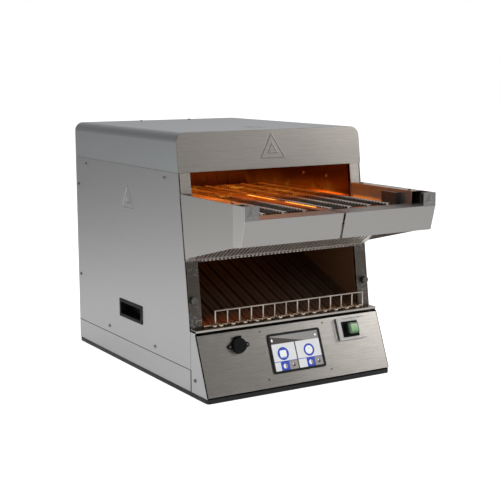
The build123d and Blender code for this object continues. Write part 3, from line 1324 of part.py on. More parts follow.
def fan_rotor():
    back = BACK_Y - SHEET
    start = back - FAN_DEPTH + FAN_STRUT_DEPTH + FAN_END_PLAY
    end = back - FAN_RIM
    reach = FAN_SIZE / 2 - FAN_RIM - FAN_CLEARANCE
    length = reach - FAN_HUB_RADIUS + BLADE_LAP
    blade = Pos(FAN_HUB_RADIUS - BLADE_LAP + length / 2, 0, 0) * Rot(BLADE_ANGLE, 0, 0)
    blade *= Box(length, BLADE_THICKNESS, BLADE_CHORD)
    rotor = fan_rod(start, end, FAN_HUB_RADIUS)
    for i in range(FAN_BLADES):
        rotor += Pos(FAN_X, (start + end) / 2, FAN_Z) * Rot(0, 360 / FAN_BLADES * i, 0) * blade
    rotor &= fan_rod(start, end, reach)
    return rotor - fan_rod(start - CUT, back - FAN_PIN_SETBACK + FAN_END_PLAY, FAN_PIN_RADIUS + PIN_FIT)


def fan_guard():
    end = BACK_Y + GRILLE_DEPTH
    bar = Box(GRILLE_BAR_LENGTH, GRILLE_DEPTH, GRILLE_BAR)
    middle = Pos(FAN_X, (BACK_Y + end) / 2, FAN_Z)
    guard = middle * Rot(0, 45, 0) * bar
    guard += middle * Rot(0, 135, 0) * bar
    for radius in spread(GRILLE_FIRST_RADIUS, FAN_SIZE / 2, GRILLE_RINGS):
        guard += fan_rod(BACK_Y, end, radius) - fan_rod(BACK_Y - CUT, end + CUT, radius - GRILLE_WIRE)
    return guard


def gland_rod(y0, y1, radius):
    """Round bar on the cord gland's axis."""
    return rod_y(y0, y1, GLAND_X, GLAND_Z, radius)


def cord_gland():
    inside = BACK_Y - SHEET
    body = gland_rod(BACK_Y, BACK_Y + GLAND_NOSE, GLAND_RADIUS)
    body += gland_rod(inside - GLAND_THREAD, BACK_Y, GLAND_NECK_RADIUS - GLAND_FIT)
    body += gland_rod(inside - GLAND_NUT, inside, GLAND_RADIUS)
    return body - gland_rod(inside - GLAND_THREAD - CUT, BACK_Y + GLAND_NOSE + CUT, GLAND_BORE_RADIUS)


def on_board(x, y, width, depth, height):
    """Component that stands on the control board."""
    base = PAN_TOP + STANDOFF_HEIGHT + BOARD_THICKNESS
    return block(x - width / 2, x + width / 2, y - depth / 2, y + depth / 2, base, base + height)


def control_board():
    base = PAN_TOP + STANDOFF_HEIGHT
    half = BOARD_WIDTH / 2
    rear = BOARD_FRONT_Y + BOARD_DEPTH
    board = block(-half, half, BOARD_FRONT_Y, rear, base, base + BOARD_THICKNESS)
    for x in (-half + STANDOFF_INSET, half - STANDOFF_INSET):
        for y in (BOARD_FRONT_Y + STANDOFF_INSET, rear - STANDOFF_INSET):
            board += rod_z(PAN_TOP, base, x, y, STANDOFF_RADIUS)
    middle = (BOARD_FRONT_Y + rear) / 2
    row = BOARD_DEPTH / 6
    board += on_board(-BOARD_WIDTH / 4, middle - row, *RELAY)
    board += on_board(0, middle + row, *HEAT_SINK)
    return board + on_board(BOARD_WIDTH / 4, middle, *SUPPLY_COIL)


def power_contactor():
    front = CONTACTOR_Y - CONTACTOR_LENGTH / 2
    rear = CONTACTOR_Y + CONTACTOR_LENGTH / 2
    half = CONTACTOR_WIDTH / 2
    top = PAN_TOP + CONTACTOR_HEIGHT
    body = block(CONTACTOR_X - half, CONTACTOR_X + half, front, rear, PAN_TOP, top)
    for pole in (-1, 0, 1):
        x = CONTACTOR_X + pole * CONTACTOR_POLE_PITCH
        for y in (front, rear):
            body -= block(x - CONTACTOR_NOTCH / 2, x + CONTACTOR_NOTCH / 2, y - CONTACTOR_NOTCH_DEPTH,
                          y + CONTACTOR_NOTCH_DEPTH, top - CONTACTOR_NOTCH_HEIGHT, top + CUT)
    return body


def terminal_block():
    half_x = TERMINALS_WIDTH / 2
    half_y = TERMINALS_DEPTH / 2
    top = PAN_TOP + TERMINALS_HEIGHT
    body = block(GLAND_X - half_x, GLAND_X + half_x, TERMINALS_Y - half_y, TERMINALS_Y + half_y,
                 PAN_TOP, top)
    for i in range(TERMINAL_COUNT):
        x = GLAND_X + (i - (TERMINAL_COUNT - 1) / 2) * TERMINAL_PITCH
        body -= rod_z(top - TERMINAL_DEPTH, top + CUT, x, TERMINALS_Y, TERMINAL_RADIUS)
    return body


def power_terminals():
    return group([terminal_block(), power_contactor()])


# ---------------------------------------------------------------- output
def build_parts():
    side_panel = left_side_panel()
    skirt = left_skirt()
    cheek = left_cheek()
    liner = left_liner()
    parts = {
        "base_pan": base_pan(),
        "rubber_feet": rubber_feet(),
        "electronics_deck": deck(),
        "left_side_panel": side_panel,
        "right_side_panel": mirrored(side_panel),
        "side_skirts": group([skirt, mirrored(skirt)]),
        "console_cheeks": group([cheek, mirrored(cheek)]),
        "back_panel": back_panel(),
        "hood_cover": hood_cover(),
        "hood_front": hood_front(),
        "front_frame": front_frame(),
        "left_liner": liner,
        "right_liner": mirrored(liner),
        "discharge_chute": chute(),
        "chamber_ceiling": ceiling(),
        "hood_insulation": insulation(),
        "upper_heaters": heaters(upper_heater_places()),
        "lower_heaters": heaters(lower_heater_places()),
        "heater_insulators": insulators(),
        "lower_reflector": lower_reflector(),
        "centre_rail": centre_rail(),
        "belt_bearings": belt_bearings(),
        "belt_crossbars": crossbars(),
        "shelf_pan": shelf_pan(),
        "crumb_tray": crumb_tray(),
        "wire_rack": wire_rack(),
        "console_panel": console_panel(),
        "display_bezel": display_bezel(),
        "touch_screen": touch_screen(),
        "usb_port": usb_port(),
        "usb_cap": usb_cap(),
        "switch_housing": switch_housing(),
        "power_rocker": power_rocker(),
        "switch_guard": switch_guard(),
        "console_studs": console_studs(),
        "button_screws": button_screws(),
        "handle_cups": group([handle_cup(-1), handle_cup(1)]),
        "gearmotors": group([gearmotor(-1), gearmotor(1)]),
        "drive_chains": group([drive_chain(-1), drive_chain(1)]),
        "fan_frame": fan_frame(),
        "fan_rotor": fan_rotor(),
        "fan_guard": fan_guard(),
        "cord_gland": cord_gland(),
        "control_board": control_board(),
        "power_terminals": power_terminals(),
    }
    for name, side in (("left", -1), ("right", 1)):
        parts[name + "_belt"] = belt(side)
        parts[name + "_idler"] = idler(side)
        parts[name + "_drive_shaft"] = drive_shaft(side)
        parts[name + "_shelf_side"] = shelf_side(side)
        parts[name + "_shelf_front"] = shelf_front(side)
        parts[name + "_thumbscrew"] = thumbscrew(side)
        parts[name + "_motor_pinion"] = motor_pinion(side)
    return parts


def main():
    os.makedirs("parts", exist_ok=True)
    for name, shape in build_parts().items():
        export_step(shape, "parts/" + name + ".step")


if __name__ == "__main__":
    main()
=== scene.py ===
import math

import bmesh
import bpy
from mathutils import Matrix, Vector


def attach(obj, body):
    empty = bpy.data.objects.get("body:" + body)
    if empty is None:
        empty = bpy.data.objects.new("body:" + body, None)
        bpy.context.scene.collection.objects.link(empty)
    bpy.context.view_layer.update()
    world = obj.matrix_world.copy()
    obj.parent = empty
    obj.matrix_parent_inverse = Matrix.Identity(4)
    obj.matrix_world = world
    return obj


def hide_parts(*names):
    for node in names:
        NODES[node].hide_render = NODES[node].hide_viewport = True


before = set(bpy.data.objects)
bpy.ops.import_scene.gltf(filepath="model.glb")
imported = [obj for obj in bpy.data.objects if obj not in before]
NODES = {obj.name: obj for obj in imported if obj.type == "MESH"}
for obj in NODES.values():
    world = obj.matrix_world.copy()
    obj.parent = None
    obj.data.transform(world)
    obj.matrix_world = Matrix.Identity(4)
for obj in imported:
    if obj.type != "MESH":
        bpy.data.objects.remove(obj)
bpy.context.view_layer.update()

MM = 0.001

# ---- places

CONSOLE_TOP = Vector((0.0, -223.3, 107.5)) * MM
CONSOLE_SLOPE = math.radians(22.06)
CONSOLE_TURN = Matrix.Rotation(math.pi / 2 - CONSOLE_SLOPE, 4, "X")
CONSOLE_PLANE = Matrix.Translation(CONSOLE_TOP) @ CONSOLE_TURN
CONSOLE_UP = CONSOLE_PLANE.to_3x3() @ Vector((0, 1, 0))
CONSOLE_OUT = CONSOLE_PLANE.to_3x3() @ Vector((0, 0, 1))
CONSOLE_HALF_WIDTH = 185.0 * MM
CHEEK_SEAM_Y = -206.2 * MM
BASE_SEAM_Z = 45.0 * MM

# The display's own measures are in millimetres.
SCREEN_CENTRE = Vector((0.6, -50.0, 0.0))
SCREEN_WIDTH = 97.2
SCREEN_HEIGHT = 60.2
SCREEN_LIFT = 0.86

ROCKER_CENTRE = Vector((119.2, -26.8, 0.0)) * MM
ROCKER_PIVOT_DEPTH = 1.0 * MM
ROCKER_SWING = math.radians(9.0)
LENS_FOOT = 10.4 * MM
LENS_HALF_WIDTH = 10.9 * MM
LENS_HALF_HEIGHT = 9.6 * MM
GUARD_SIDE_X = ROCKER_CENTRE.x - 27.5 * MM
GUARD_HALF_HEIGHT = 20.0 * MM

USB_CENTRE = Vector((-110.2, -27.0, 2.0)) * MM
USB_SCREW_SPAN = 33.0 * MM
USB_SCREW_RADIUS = 1.9 * MM
USB_SCREW_HEIGHT = 1.5 * MM

BELT_NOSE_Y = -301.0 * MM
BELT_DRIVE_Y = 111.0 * MM
BELT_AXIS_Z = 296.5 * MM
BELT_WIRE_REACH = 14.0 * MM
BELT_INNER_X = 20.6 * MM
BELT_OUTER_X = 149.4 * MM
BELT_WIRE_RADIUS = 0.95 * MM
BELT_WIRE_COUNT = 106
STRAIGHT = BELT_DRIVE_Y - BELT_NOSE_Y
LOOP = 2 * STRAIGHT + 2 * math.pi * BELT_WIRE_REACH
LINK = LOOP / BELT_WIRE_COUNT
SPROCKETS_X = (24.5 * MM, 64.8 * MM, 105.2 * MM, 145.5 * MM)
HOOK_HALF = 3.4 * MM
HOOK_REACH = 1.15 * LINK
HOOK_DIP = 0.6 * MM

SHELF_FRONT_Y = -379.0 * MM
SHELF_TOP_Z = 334.6 * MM
SHELF_HALF_WIDTH = 184.2 * MM
SLOT_PITCH = 7.6 * MM
STRIP_MIDDLE_Z = 223.2 * MM
STRIP_HALF_HEIGHT = 3.4 * MM
STRIP_HALF_WIDTH = 152.0 * MM
RIDGE_PITCH = 12.0 * MM

RACK_BARS_X = [(-139.0 + place * 304.0 / 13) * MM for place in range(14)]
RACK_Y = -208.0 * MM
RACK_FOOT_Z = 116.15 * MM
RACK_TOP_Z = 140.15 * MM
RACK_WIRE_RADIUS = 1.5 * MM
RACK_WELD_RADIUS = 2.0 * MM
RACK_END_HAIRPIN = 12.0 * MM
RACK_END_RAIL = 22.0 * MM

LIP_HALF_WIDTH = 185.6 * MM
LIP_FRONT_Y = -263.4 * MM
LIP_BACK_Y = 257.4 * MM
LIP_LOW = 0.6 * MM
LIP_HIGH = 7.9 * MM
LIP_DEPTH = 5.0 * MM
LIP_CORNER = 6.0 * MM


# ---- node helpers

def paint(red, green, blue):
    """An 8-bit colour as linear values."""
    channels = [c / 255 for c in (red, green, blue)]
    linear = [c / 12.92 if c <= 0.04045 else ((c + 0.055) / 1.055) ** 2.4 for c in channels]
    return (*linear, 1.0)


def dimmed(colour, share):
    return (*(c * share for c in colour[:3]), 1.0)


WHITE = (1.0, 1.0, 1.0, 1.0)
BLACK = (0.0, 0.0, 0.0, 1.0)


def is_socket(value):
    return isinstance(value, bpy.types.NodeSocket)


class Nodes:
    """A node tree, with short calls for the nodes in it."""

    def __init__(self, tree, where):
        self.tree = tree
        self.where = where

    def add(self, kind, inputs=None, **settings):
        node = self.tree.nodes.new(kind)
        for name, value in settings.items():
            setattr(node, name, value)
        for name, value in (inputs or {}).items():
            if is_socket(value):
                self.tree.links.new(value, node.inputs[name])
            else:
                node.inputs[name].default_value = value
        return node

    def maths(self, operation, first, second=0.5, clamp=False):
        inputs = {0: first, 1: second}
        return self.add("ShaderNodeMath", inputs, operation=operation, use_clamp=clamp).outputs[0]

    def times(self, first, second, clamp=False):
        return self.maths("MULTIPLY", first, second, clamp)

    def plus(self, first, second, clamp=False):
        return self.maths("ADD", first, second, clamp)

    def less(self, first, second):
        return self.maths("SUBTRACT", first, second)

    def larger(self, first, second):
        return self.maths("MAXIMUM", first, second)

    def gap(self, first, second=None):
        """How far a value lies from another, or from zero."""
        apart = first if second is None else self.less(first, second)
        return self.maths("ABSOLUTE", apart)

    def fraction(self, value, pitch):
        """The place within one pitch, from 0 to 1."""
        return self.maths("FRACT", self.maths("DIVIDE", value, pitch))

    def vectors(self, operation, first, second=(0.0, 0.0, 0.0)):
        return self.add("ShaderNodeVectorMath", {0: first, 1: second}, operation=operation).outputs

    def along(self, direction, origin):
        """How far each point lies from an origin along a direction."""
        apart = self.vectors("SUBTRACT", self.where, tuple(origin))[0]
        return self.vectors("DOT_PRODUCT", apart, tuple(direction))["Value"]

    def axes(self):
        return self.add("ShaderNodeSeparateXYZ", {0: self.where}).outputs

    def ranged(self, value, low, high, to_low=0.0, to_high=1.0, kind="LINEAR"):
        inputs = {"Value": value, "From Min": low, "From Max": high, "To Min": to_low,
                  "To Max": to_high}
        return self.add("ShaderNodeMapRange", inputs, interpolation_type=kind).outputs[0]

    def between(self, mask, low, high):
        """From one value to another as a mask goes from 0 to 1."""
        return self.ranged(mask, 0.0, 1.0, low, high)

    def inside(self, distance, reach, soft):
        """1 where a distance is within reach, less a soft border, and 0 beyond it."""
        inner = self.less(reach, soft) if is_socket(reach) else reach - soft
        return self.ranged(distance, reach, inner)

    def mixed(self, factor, first, second, blend="MIX"):
        inputs = {0: factor, 6: first, 7: second}
        return self.add("ShaderNodeMix", inputs, data_type="RGBA", blend_type=blend).outputs[2]

    def tinted(self, tone, colour):
        return self.mixed(1.0, tone, colour, "MULTIPLY")

    def noise(self, scale, detail=3.0, rough=0.5, vector=None):
        inputs = {"Vector": self.where if vector is None else vector, "Scale": scale,
                  "Detail": detail, "Roughness": rough}
        return self.add("ShaderNodeTexNoise", inputs).outputs[0]


# ---- shared effects

class Effect(Nodes):
    """A shader node group that several finishes share."""

    def __init__(self, name, inputs, outputs):
        group = bpy.data.node_groups.new(name, "ShaderNodeTree")
        for title, kind, value in [("Vector", "Vector", (0.0, 0.0, 0.0))] + inputs:
            socket = group.interface.new_socket(
                title, in_out="INPUT", socket_type="NodeSocket" + kind
            )
            socket.default_value = value
        for title, kind in outputs:
            group.interface.new_socket(title, in_out="OUTPUT", socket_type="NodeSocket" + kind)
        self.given = group.nodes.new("NodeGroupInput").outputs
        self.results = group.nodes.new("NodeGroupOutput").inputs
        super().__init__(group, self.given["Vector"])

    def give(self, **results):
        for title, socket in results.items():
            self.tree.links.new(socket, self.results[title.title()])
        return self.tree


def make_brushing():
    """Streaks along the stretch, with a slow drift of tone and roughness."""
    made = Effect(
        "brushing",
        [("Stretch", "Vector", (10, 600, 600)), ("Light", "Color", (0.5, 0.5, 0.5, 1)),
         ("Dark", "Color", (0.4, 0.4, 0.4, 1)), ("Roughness", "Float", 0.32),
         ("Spread", "Float", 0.14)],
        [("Color", "Color"), ("Roughness", "Float"), ("Height", "Float")],
    )
    given = made.given
    stretched = made.vectors("MULTIPLY", made.where, given["Stretch"])[0]
    broad = made.noise(1.0, 4.0, 0.65, stretched)
    fine = made.noise(3.1, 3.0, 0.7, stretched)
    streak = made.times(made.plus(broad, fine), 0.5)
    cloud = made.noise(5.0, 3.0, 0.55)
    drift_of_tone = made.ranged(cloud, 0.2, 0.8, -0.15, 0.15)
    tone = made.plus(made.ranged(streak, 0.3, 0.7), drift_of_tone, True)
    drift = made.plus(made.less(streak, 0.5), made.times(made.less(cloud, 0.5), 0.6))
    return made.give(
        color=made.mixed(tone, given["Dark"], given["Light"]),
        roughness=made.plus(given["Roughness"], made.times(drift, given["Spread"])),
        height=streak,
    )


def make_rounded_edge_mask():
    """Where a rounded edge turns away from its face, broken up a little."""
    made = Effect(
        "edge_wear_and_shade",
        [("Width", "Float", 0.0008), ("Break", "Float", 220.0)],
        [("Mask", "Float"), ("Normal", "Vector")],
    )
    rounded = made.add("ShaderNodeBevel", {"Radius": made.given["Width"]}, samples=6).outputs[0]
    flat = made.add("ShaderNodeNewGeometry").outputs["Normal"]
    facing = made.vectors("DOT_PRODUCT", rounded, flat)["Value"]
    edge = made.ranged(facing, 0.995, 0.86)
    broken = made.ranged(made.noise(made.given["Break"], 2.0), 0.3, 0.6, 0.35, 1.0)
    return made.give(mask=made.times(edge, broken, True), normal=rounded)


def make_scratches():
    """Thin lines in two directions, in patches."""
    made = Effect(
        "scratches", [("Scale", "Float", 40.0), ("Thin", "Float", 0.006)], [("Mask", "Float")]
    )
    masks = []
    for turn, pull in ((0.4, (1, 7, 2)), (-0.9, (6, 1, 1.5))):
        turning = {"Vector": made.where, "Rotation": (turn, turn * 0.7, turn), "Scale": pull}
        turned = made.add("ShaderNodeMapping", turning).outputs[0]
        line = made.gap(made.noise(made.given["Scale"], 1.0, 0.5, turned), 0.5)
        masks.append(made.maths("LESS_THAN", line, made.given["Thin"]))
    patches = made.ranged(made.noise(18.0), 0.45, 0.65)
    return made.give(mask=made.times(made.larger(*masks), patches))


def make_heat_tint():
    """Straw and brown patches on hot metal."""
    made = Effect(
        "heat_tint",
        [("Metal", "Color", (0.6, 0.6, 0.6, 1)), ("Straw", "Color", paint(176, 120, 62)),
         ("Brown", "Color", paint(84, 42, 20)), ("Amount", "Float", 0.6)],
        [("Color", "Color"), ("Mask", "Float")],
    )
    given = made.given
    patch = made.noise(14.0, 4.0, 0.6)
    straw = made.times(made.ranged(patch, 0.3, 0.6), given["Amount"], True)
    brown = made.times(made.ranged(patch, 0.5, 0.75), given["Amount"], True)
    first = made.mixed(straw, given["Metal"], given["Straw"])
    return made.give(color=made.mixed(brown, first, given["Brown"]), mask=patch)


def make_glow():
    """Painted glow of the elements' light, given as emission colour; it falls off towards the feed
    end, the floor and the roof of the chamber, with small brighter painted spots.
    """
    made = Effect(
        "element_glow",
        [("Hot", "Color", (1.0, 0.18, 0.008, 1)), ("Edge", "Color", (0.35, 0.05, 0.004, 1)),
         ("Front", "Float", -0.20), ("Low", "Float", 0.27), ("High", "Float", 0.33)],
        [("Color", "Color"), ("Mask", "Float")],
    )
    given = made.given
    _, along, height = made.axes()
    front, low, high = given["Front"], given["Low"], given["High"]
    deep = made.ranged(along, front, made.plus(front, 0.16), kind="SMOOTHSTEP")
    raised = made.ranged(height, low, made.plus(low, 0.02))
    covered = made.ranged(height, high, made.plus(high, 0.03), 1.0, 0.06)
    patchy = made.times(covered, made.ranged(made.noise(11.0, 3.0), 0.32, 0.68, 0.35, 1.0))
    mask = made.times(made.times(deep, raised), patchy, True)
    tinted = made.mixed(mask, given["Edge"], given["Hot"])
    bright = made.times(made.ranged(made.noise(34.0, 2.0), 0.6, 0.66), mask)
    tinted = made.mixed(bright, tinted, (2.4, 1.0, 0.1, 1))
    return made.give(color=made.mixed(mask, BLACK, tinted), mask=mask)


def make_grain():
    """Fine pits for castings and mouldings, and a slow mask for their tone."""
    made = Effect(
        "grain", [("Scale", "Float", 900.0)], [("Height", "Float"), ("Mask", "Float")]
    )
    scale = made.given["Scale"]
    cells = {"Vector": made.where, "Scale": scale}
    pits = made.add("ShaderNodeTexVoronoi", cells).outputs["Distance"]
    return made.give(
        height=made.plus(pits, made.noise(scale, 2.0)),
        mask=made.ranged(made.noise(30.0, 4.0), 0.35, 0.7),
    )


def make_crumbs():
    """Fine specks in drifts."""
    made = Effect("crumbs", [("Scale", "Float", 260.0)], [("Mask", "Float")])
    specks = made.ranged(made.noise(made.given["Scale"], 3.0, 0.7), 0.62, 0.74)
    drift = made.ranged(made.noise(16.0, 3.0), 0.45, 0.7)
    return made.give(mask=made.times(specks, drift, True))


GROUPS = {
    "brushing": make_brushing(),
    "edge_wear_and_shade": make_rounded_edge_mask(),
    "scratches": make_scratches(),
    "heat_tint": make_heat_tint(),
    "glow": make_glow(),
    "grain": make_grain(),
    "crumbs": make_crumbs(),
}


class Finish(Nodes):
    """A material with its shader, object coordinates and shared effects at hand."""

    def __init__(self, name, **plain):
        self.material = bpy.data.materials.new(name)
        self.material.use_nodes = True
        tree = self.material.node_tree
        tree.nodes.clear()
        self.shader = tree.nodes.new("ShaderNodeBsdfPrincipled")
        output = tree.nodes.new("ShaderNodeOutputMaterial")
        tree.links.new(self.shader.outputs[0], output.inputs[0])
        super().__init__(tree, tree.nodes.new("ShaderNodeTexCoord").outputs["Object"])
        self.x, self.y, self.z = self.axes()
        for title, value in plain.items():
            title = title.replace("_", " ").title().replace("Ior", "IOR")
            self.shader.inputs[title].default_value = value

    def effect(self, group, **inputs):
        named = {title.title(): value for title, value in inputs.items()}
        named["Vector"] = self.where
        return self.add("ShaderNodeGroup", named, node_tree=GROUPS[group]).outputs

    def feed(self, title, socket):
        self.tree.links.new(socket, self.shader.inputs[title])

    def bump(self, height, distance, strength=1.0, normal=None):
        inputs = {"Height": height, "Distance": distance, "Strength": strength}
        if normal is not None:
            inputs["Normal"] = normal
        self.feed("Normal", self.add("ShaderNodeBump", inputs).outputs[0])

    def under(self, level, band):
        """1 below a level, and 0 a band above it."""
        return self.ranged(self.z, level + band, level)


# ---- sheet steel

STEEL_EDGE = paint(205, 203, 199)
ACROSS = (14.0, 1300.0, 1300.0)
LENGTHWISE = (1300.0, 14.0, 1300.0)
UPRIGHT = (1300.0, 1300.0, 14.0)
HOOD_GRAIN = (18.0, 640.0, 640.0)
CONSOLE_GRAIN = (24.0, 460.0, 460.0)
POST_GRAIN = (60.0, 60.0, 560.0)
SPANGLE = (40.0, 40.0, 40.0)
SHEET_TINT = 0.62
SATIN_TINT = 0.6
PLATED_TINT = 0.8
EDGE_WIDTH = 0.7 * MM
HOOD_EDGE_WIDTH = 1.3 * MM
GUARD_EDGE_WIDTH = 0.5 * MM
SEAM_SOFT = 0.3 * MM
SEAM_STEP = 1.0 * MM


class Sheet(Finish):
    """Brushed sheet whose rounded edges take a pale worn tone, or on some finishes a dark line of
    painted shade, before the marks of its own place.
    """

    def __init__(self, name, light, dark, stretch, roughness, spread,
                 tint=SHEET_TINT, wide=EDGE_WIDTH, metallic=1.0):
        super().__init__(name, metallic=metallic, specular_tint=(tint, tint, tint, 1.0))
        self.brushing = self.effect("brushing", stretch=stretch, light=light, dark=dark,
                                    roughness=roughness, spread=spread)
        self.rounded_edges = self.effect("edge_wear_and_shade", width=wide)

    # Tones the rounded edges: pale edge colours are wear, dark edge colours are painted shade
    # lines.
    def wear_and_shade_edges(self, tone, share, edge=STEEL_EDGE):
        return self.mixed(self.times(self.rounded_edges["Mask"], share), tone, edge)

    def lay(self, tone, roughness=None, depth=0.01 * MM, strength=0.2):
        self.feed("Base Color", tone)
        self.feed("Roughness", self.brushing["Roughness"] if roughness is None else roughness)
        self.bump(self.brushing["Height"], depth, strength, self.rounded_edges["Normal"])
        return self.material


def brushed(name, light, dark, stretch=ACROSS, roughness=0.34, spread=0.1, edge=0.6,
            edge_tone=STEEL_EDGE, wide=EDGE_WIDTH, low_tone=None):
    """Plain sheet; low_tone is (level, band, colour) for a tone that takes over below."""
    made = Sheet(name, light, dark, stretch, roughness, spread, wide=wide)
    tone = made.brushing["Color"]
    if low_tone:
        level, band, colour = low_tone
        tone = made.mixed(made.under(level, band), tone, made.tinted(tone, colour))
    return made.lay(made.wear_and_shade_edges(tone, edge, edge_tone))


def console_sheet(name, light, dark):
    """Console panel, with a painted shadow line along its top under the ledge, dark seams along
    its sides, and painted white beside the guard, over the band that the guard's wall darkens by
    reflection and shadow.
    """
    ledge_shadow_reach = 2.2 * MM
    side_seam = 1.5 * MM
    guard_light_width = 9.0 * MM
    guard_light_border = 4.0 * MM
    made = Sheet(name, light, dark, CONSOLE_GRAIN, 0.3, 0.1)
    up = made.along(CONSOLE_UP, CONSOLE_TOP)
    side_start = CONSOLE_HALF_WIDTH - side_seam
    side = made.ranged(made.gap(made.x), side_start, side_start + SEAM_SOFT)
    # Painted shadow of the ledge: a dark line along the panel's top.
    top = made.ranged(up, -ledge_shadow_reach, SEAM_SOFT - ledge_shadow_reach)
    from_guard = made.less(GUARD_SIDE_X, made.x)
    near = made.ranged(from_guard, guard_light_width, guard_light_width - guard_light_border)
    beside = made.times(near, made.ranged(from_guard, -SEAM_STEP, 0.0))
    level = made.inside(made.gap(up, ROCKER_CENTRE.y), GUARD_HALF_HEIGHT, 3.0 * MM)
    tone = made.wear_and_shade_edges(made.brushing["Color"], 0.6)
    # Painted light: white laid beside the guard's side wall to cover its dark reflection and
    # shadow on the panel.
    tone = made.mixed(made.times(beside, level), tone, WHITE)
    return made.lay(made.mixed(made.larger(side, top), tone, paint(14, 13, 12)))


def side_sheet(name, light, dark):
    """Panels, skirts and cheeks, with dark seams before and above the skirts."""
    seam_reach = 0.9 * MM
    skirt_seam_reach = 1.7 * MM
    made = Sheet(name, light, dark, LENGTHWISE, 0.38, 0.1)
    seam_top = BASE_SEAM_Z + SEAM_STEP
    reach = made.ranged(made.z, seam_top, BASE_SEAM_Z, seam_reach, skirt_seam_reach)
    depth = made.ranged(made.z, seam_top, BASE_SEAM_Z, 0.5, 1.0)
    front = made.inside(made.gap(made.y, CHEEK_SEAM_Y), reach, SEAM_SOFT)
    behind = made.ranged(made.y, CHEEK_SEAM_Y - SEAM_STEP, CHEEK_SEAM_Y, 0.0, 0.75)
    above = made.inside(made.gap(made.z, BASE_SEAM_Z), seam_reach, SEAM_SOFT)
    seams = made.larger(made.times(front, depth), made.times(above, behind))
    tone = made.wear_and_shade_edges(made.brushing["Color"], 0.6)
    return made.lay(made.mixed(seams, tone, paint(30, 30, 30)))


def shelf_front_sheet(name, light, dark):
    """Shelf fronts, painted darker than the shelf sides as shade on their forward faces, and
    folded round the shelf's sides, where they take the sides' lighter tone.
    """
    made = Sheet(name, light, dark, ACROSS, 0.38, 0.06, tint=SATIN_TINT)
    plain = made.brushing["Color"]
    side_start = SHELF_HALF_WIDTH - 0.4 * MM
    side = made.ranged(made.gap(made.x), side_start, side_start + SEAM_SOFT)
    # Painted light and shade: the sideways folds are lightened to the shelf sides' tone.
    tone = made.mixed(side, plain, made.mixed(0.5, plain, paint(226, 224, 221)))
    return made.lay(made.wear_and_shade_edges(tone, 0.4, paint(186, 184, 181)))


def shelf_side_sheet(name, light, dark):
    """Shelf sides: satin outside, a tab on the front painted darker as shade with dark painted
    shade on its edges, and a fold on top painted with the patchy reflected glow of the elements.
    """
    fold_roughness = (0.24, 0.24, 0.24, 1)
    made = Sheet(name, light, dark, ACROSS, 0.38, 0.08, tint=SATIN_TINT)
    plain = made.brushing["Color"]
    tab = made.ranged(made.y, SHELF_FRONT_Y + 0.4 * MM, SHELF_FRONT_Y + 0.2 * MM)
    top = made.ranged(made.z, SHELF_TOP_Z - 0.3 * MM, SHELF_TOP_Z - 0.1 * MM)
    fold = made.times(top, made.less(1.0, tab))
    patches = made.ranged(made.noise(26.0, 2.0), 0.46, 0.56)
    # Painted shade: the front-facing tab is darkened to the shelf fronts' tone.
    tone = made.mixed(tab, plain, made.tinted(plain, paint(184, 182, 180)))
    # Painted reflection: patchy brown and straw glow of the elements on the top fold.
    tone = made.mixed(fold, tone, made.mixed(patches, paint(92, 60, 42), paint(186, 150, 112)))
    # Edges pale as wear, but dark on the tab as painted shade.
    rim = made.mixed(tab, STEEL_EDGE, paint(58, 57, 56))
    tone = made.wear_and_shade_edges(tone, made.between(tab, 0.4, 0.9), rim)
    return made.lay(tone, made.mixed(fold, made.brushing["Roughness"], fold_roughness))


def guard_sheet(name, light, dark):
    """Pale satin plating, with a dark line of painted contact shadow where the guard's foot meets
    the panel.
    """
    foot_height = 3.4 * MM
    made = Sheet(name, light, dark, UPRIGHT, 0.4, 0.08,
                 tint=PLATED_TINT, wide=GUARD_EDGE_WIDTH, metallic=0.0)
    height = made.along(CONSOLE_OUT, CONSOLE_TOP)
    wall = made.ranged(made.x, GUARD_SIDE_X + 0.5 * MM, GUARD_SIDE_X + 0.2 * MM)
    # Painted contact shadow along the foot of the guard's side wall.
    foot = made.times(wall, made.ranged(height, foot_height, foot_height - SEAM_SOFT))
    made.feed("Metallic", made.between(foot, 0.05, 0.0))
    tone = made.wear_and_shade_edges(made.brushing["Color"], 0.4)
    return made.lay(made.mixed(foot, tone, paint(24, 22, 21)))


def post_sheet(name, light, dark):
    """Scratched posts, with painted shade under the shelf where they are also scratched, and a
    strip between them painted as slots: pale bars with dark stripes of painted slot shade.
    """
    shelf_shade_z = 236.0 * MM
    made = Sheet(name, light, dark, POST_GRAIN, 0.36, 0.2, tint=SATIN_TINT)
    plain = made.brushing["Color"]
    # Painted shade under the shelf.
    low = made.under(shelf_shade_z, 6.0 * MM)
    tone = made.mixed(low, plain, made.tinted(plain, paint(118, 115, 112)))
    marks = made.effect("scratches", scale=60.0, thin=0.012)["Mask"]
    tone = made.mixed(made.times(marks, made.times(low, 0.5)), tone, STEEL_EDGE)
    # Painted slots: dark stripes stand in for the shade inside slots, between pale bars.
    bar = made.ranged(made.gap(made.fraction(made.x, SLOT_PITCH), 0.5), 0.2, 0.3)
    strip = made.times(
        made.inside(made.gap(made.z, STRIP_MIDDLE_Z), STRIP_HALF_HEIGHT, 0.4 * MM),
        made.inside(made.gap(made.x), STRIP_HALF_WIDTH, SEAM_STEP),
    )
    tone = made.mixed(strip, tone, made.mixed(bar, paint(60, 46, 36), paint(206, 200, 192)))
    return made.lay(made.wear_and_shade_edges(tone, 0.6), depth=0.02 * MM, strength=0.35)


# ---- hot and machined steel

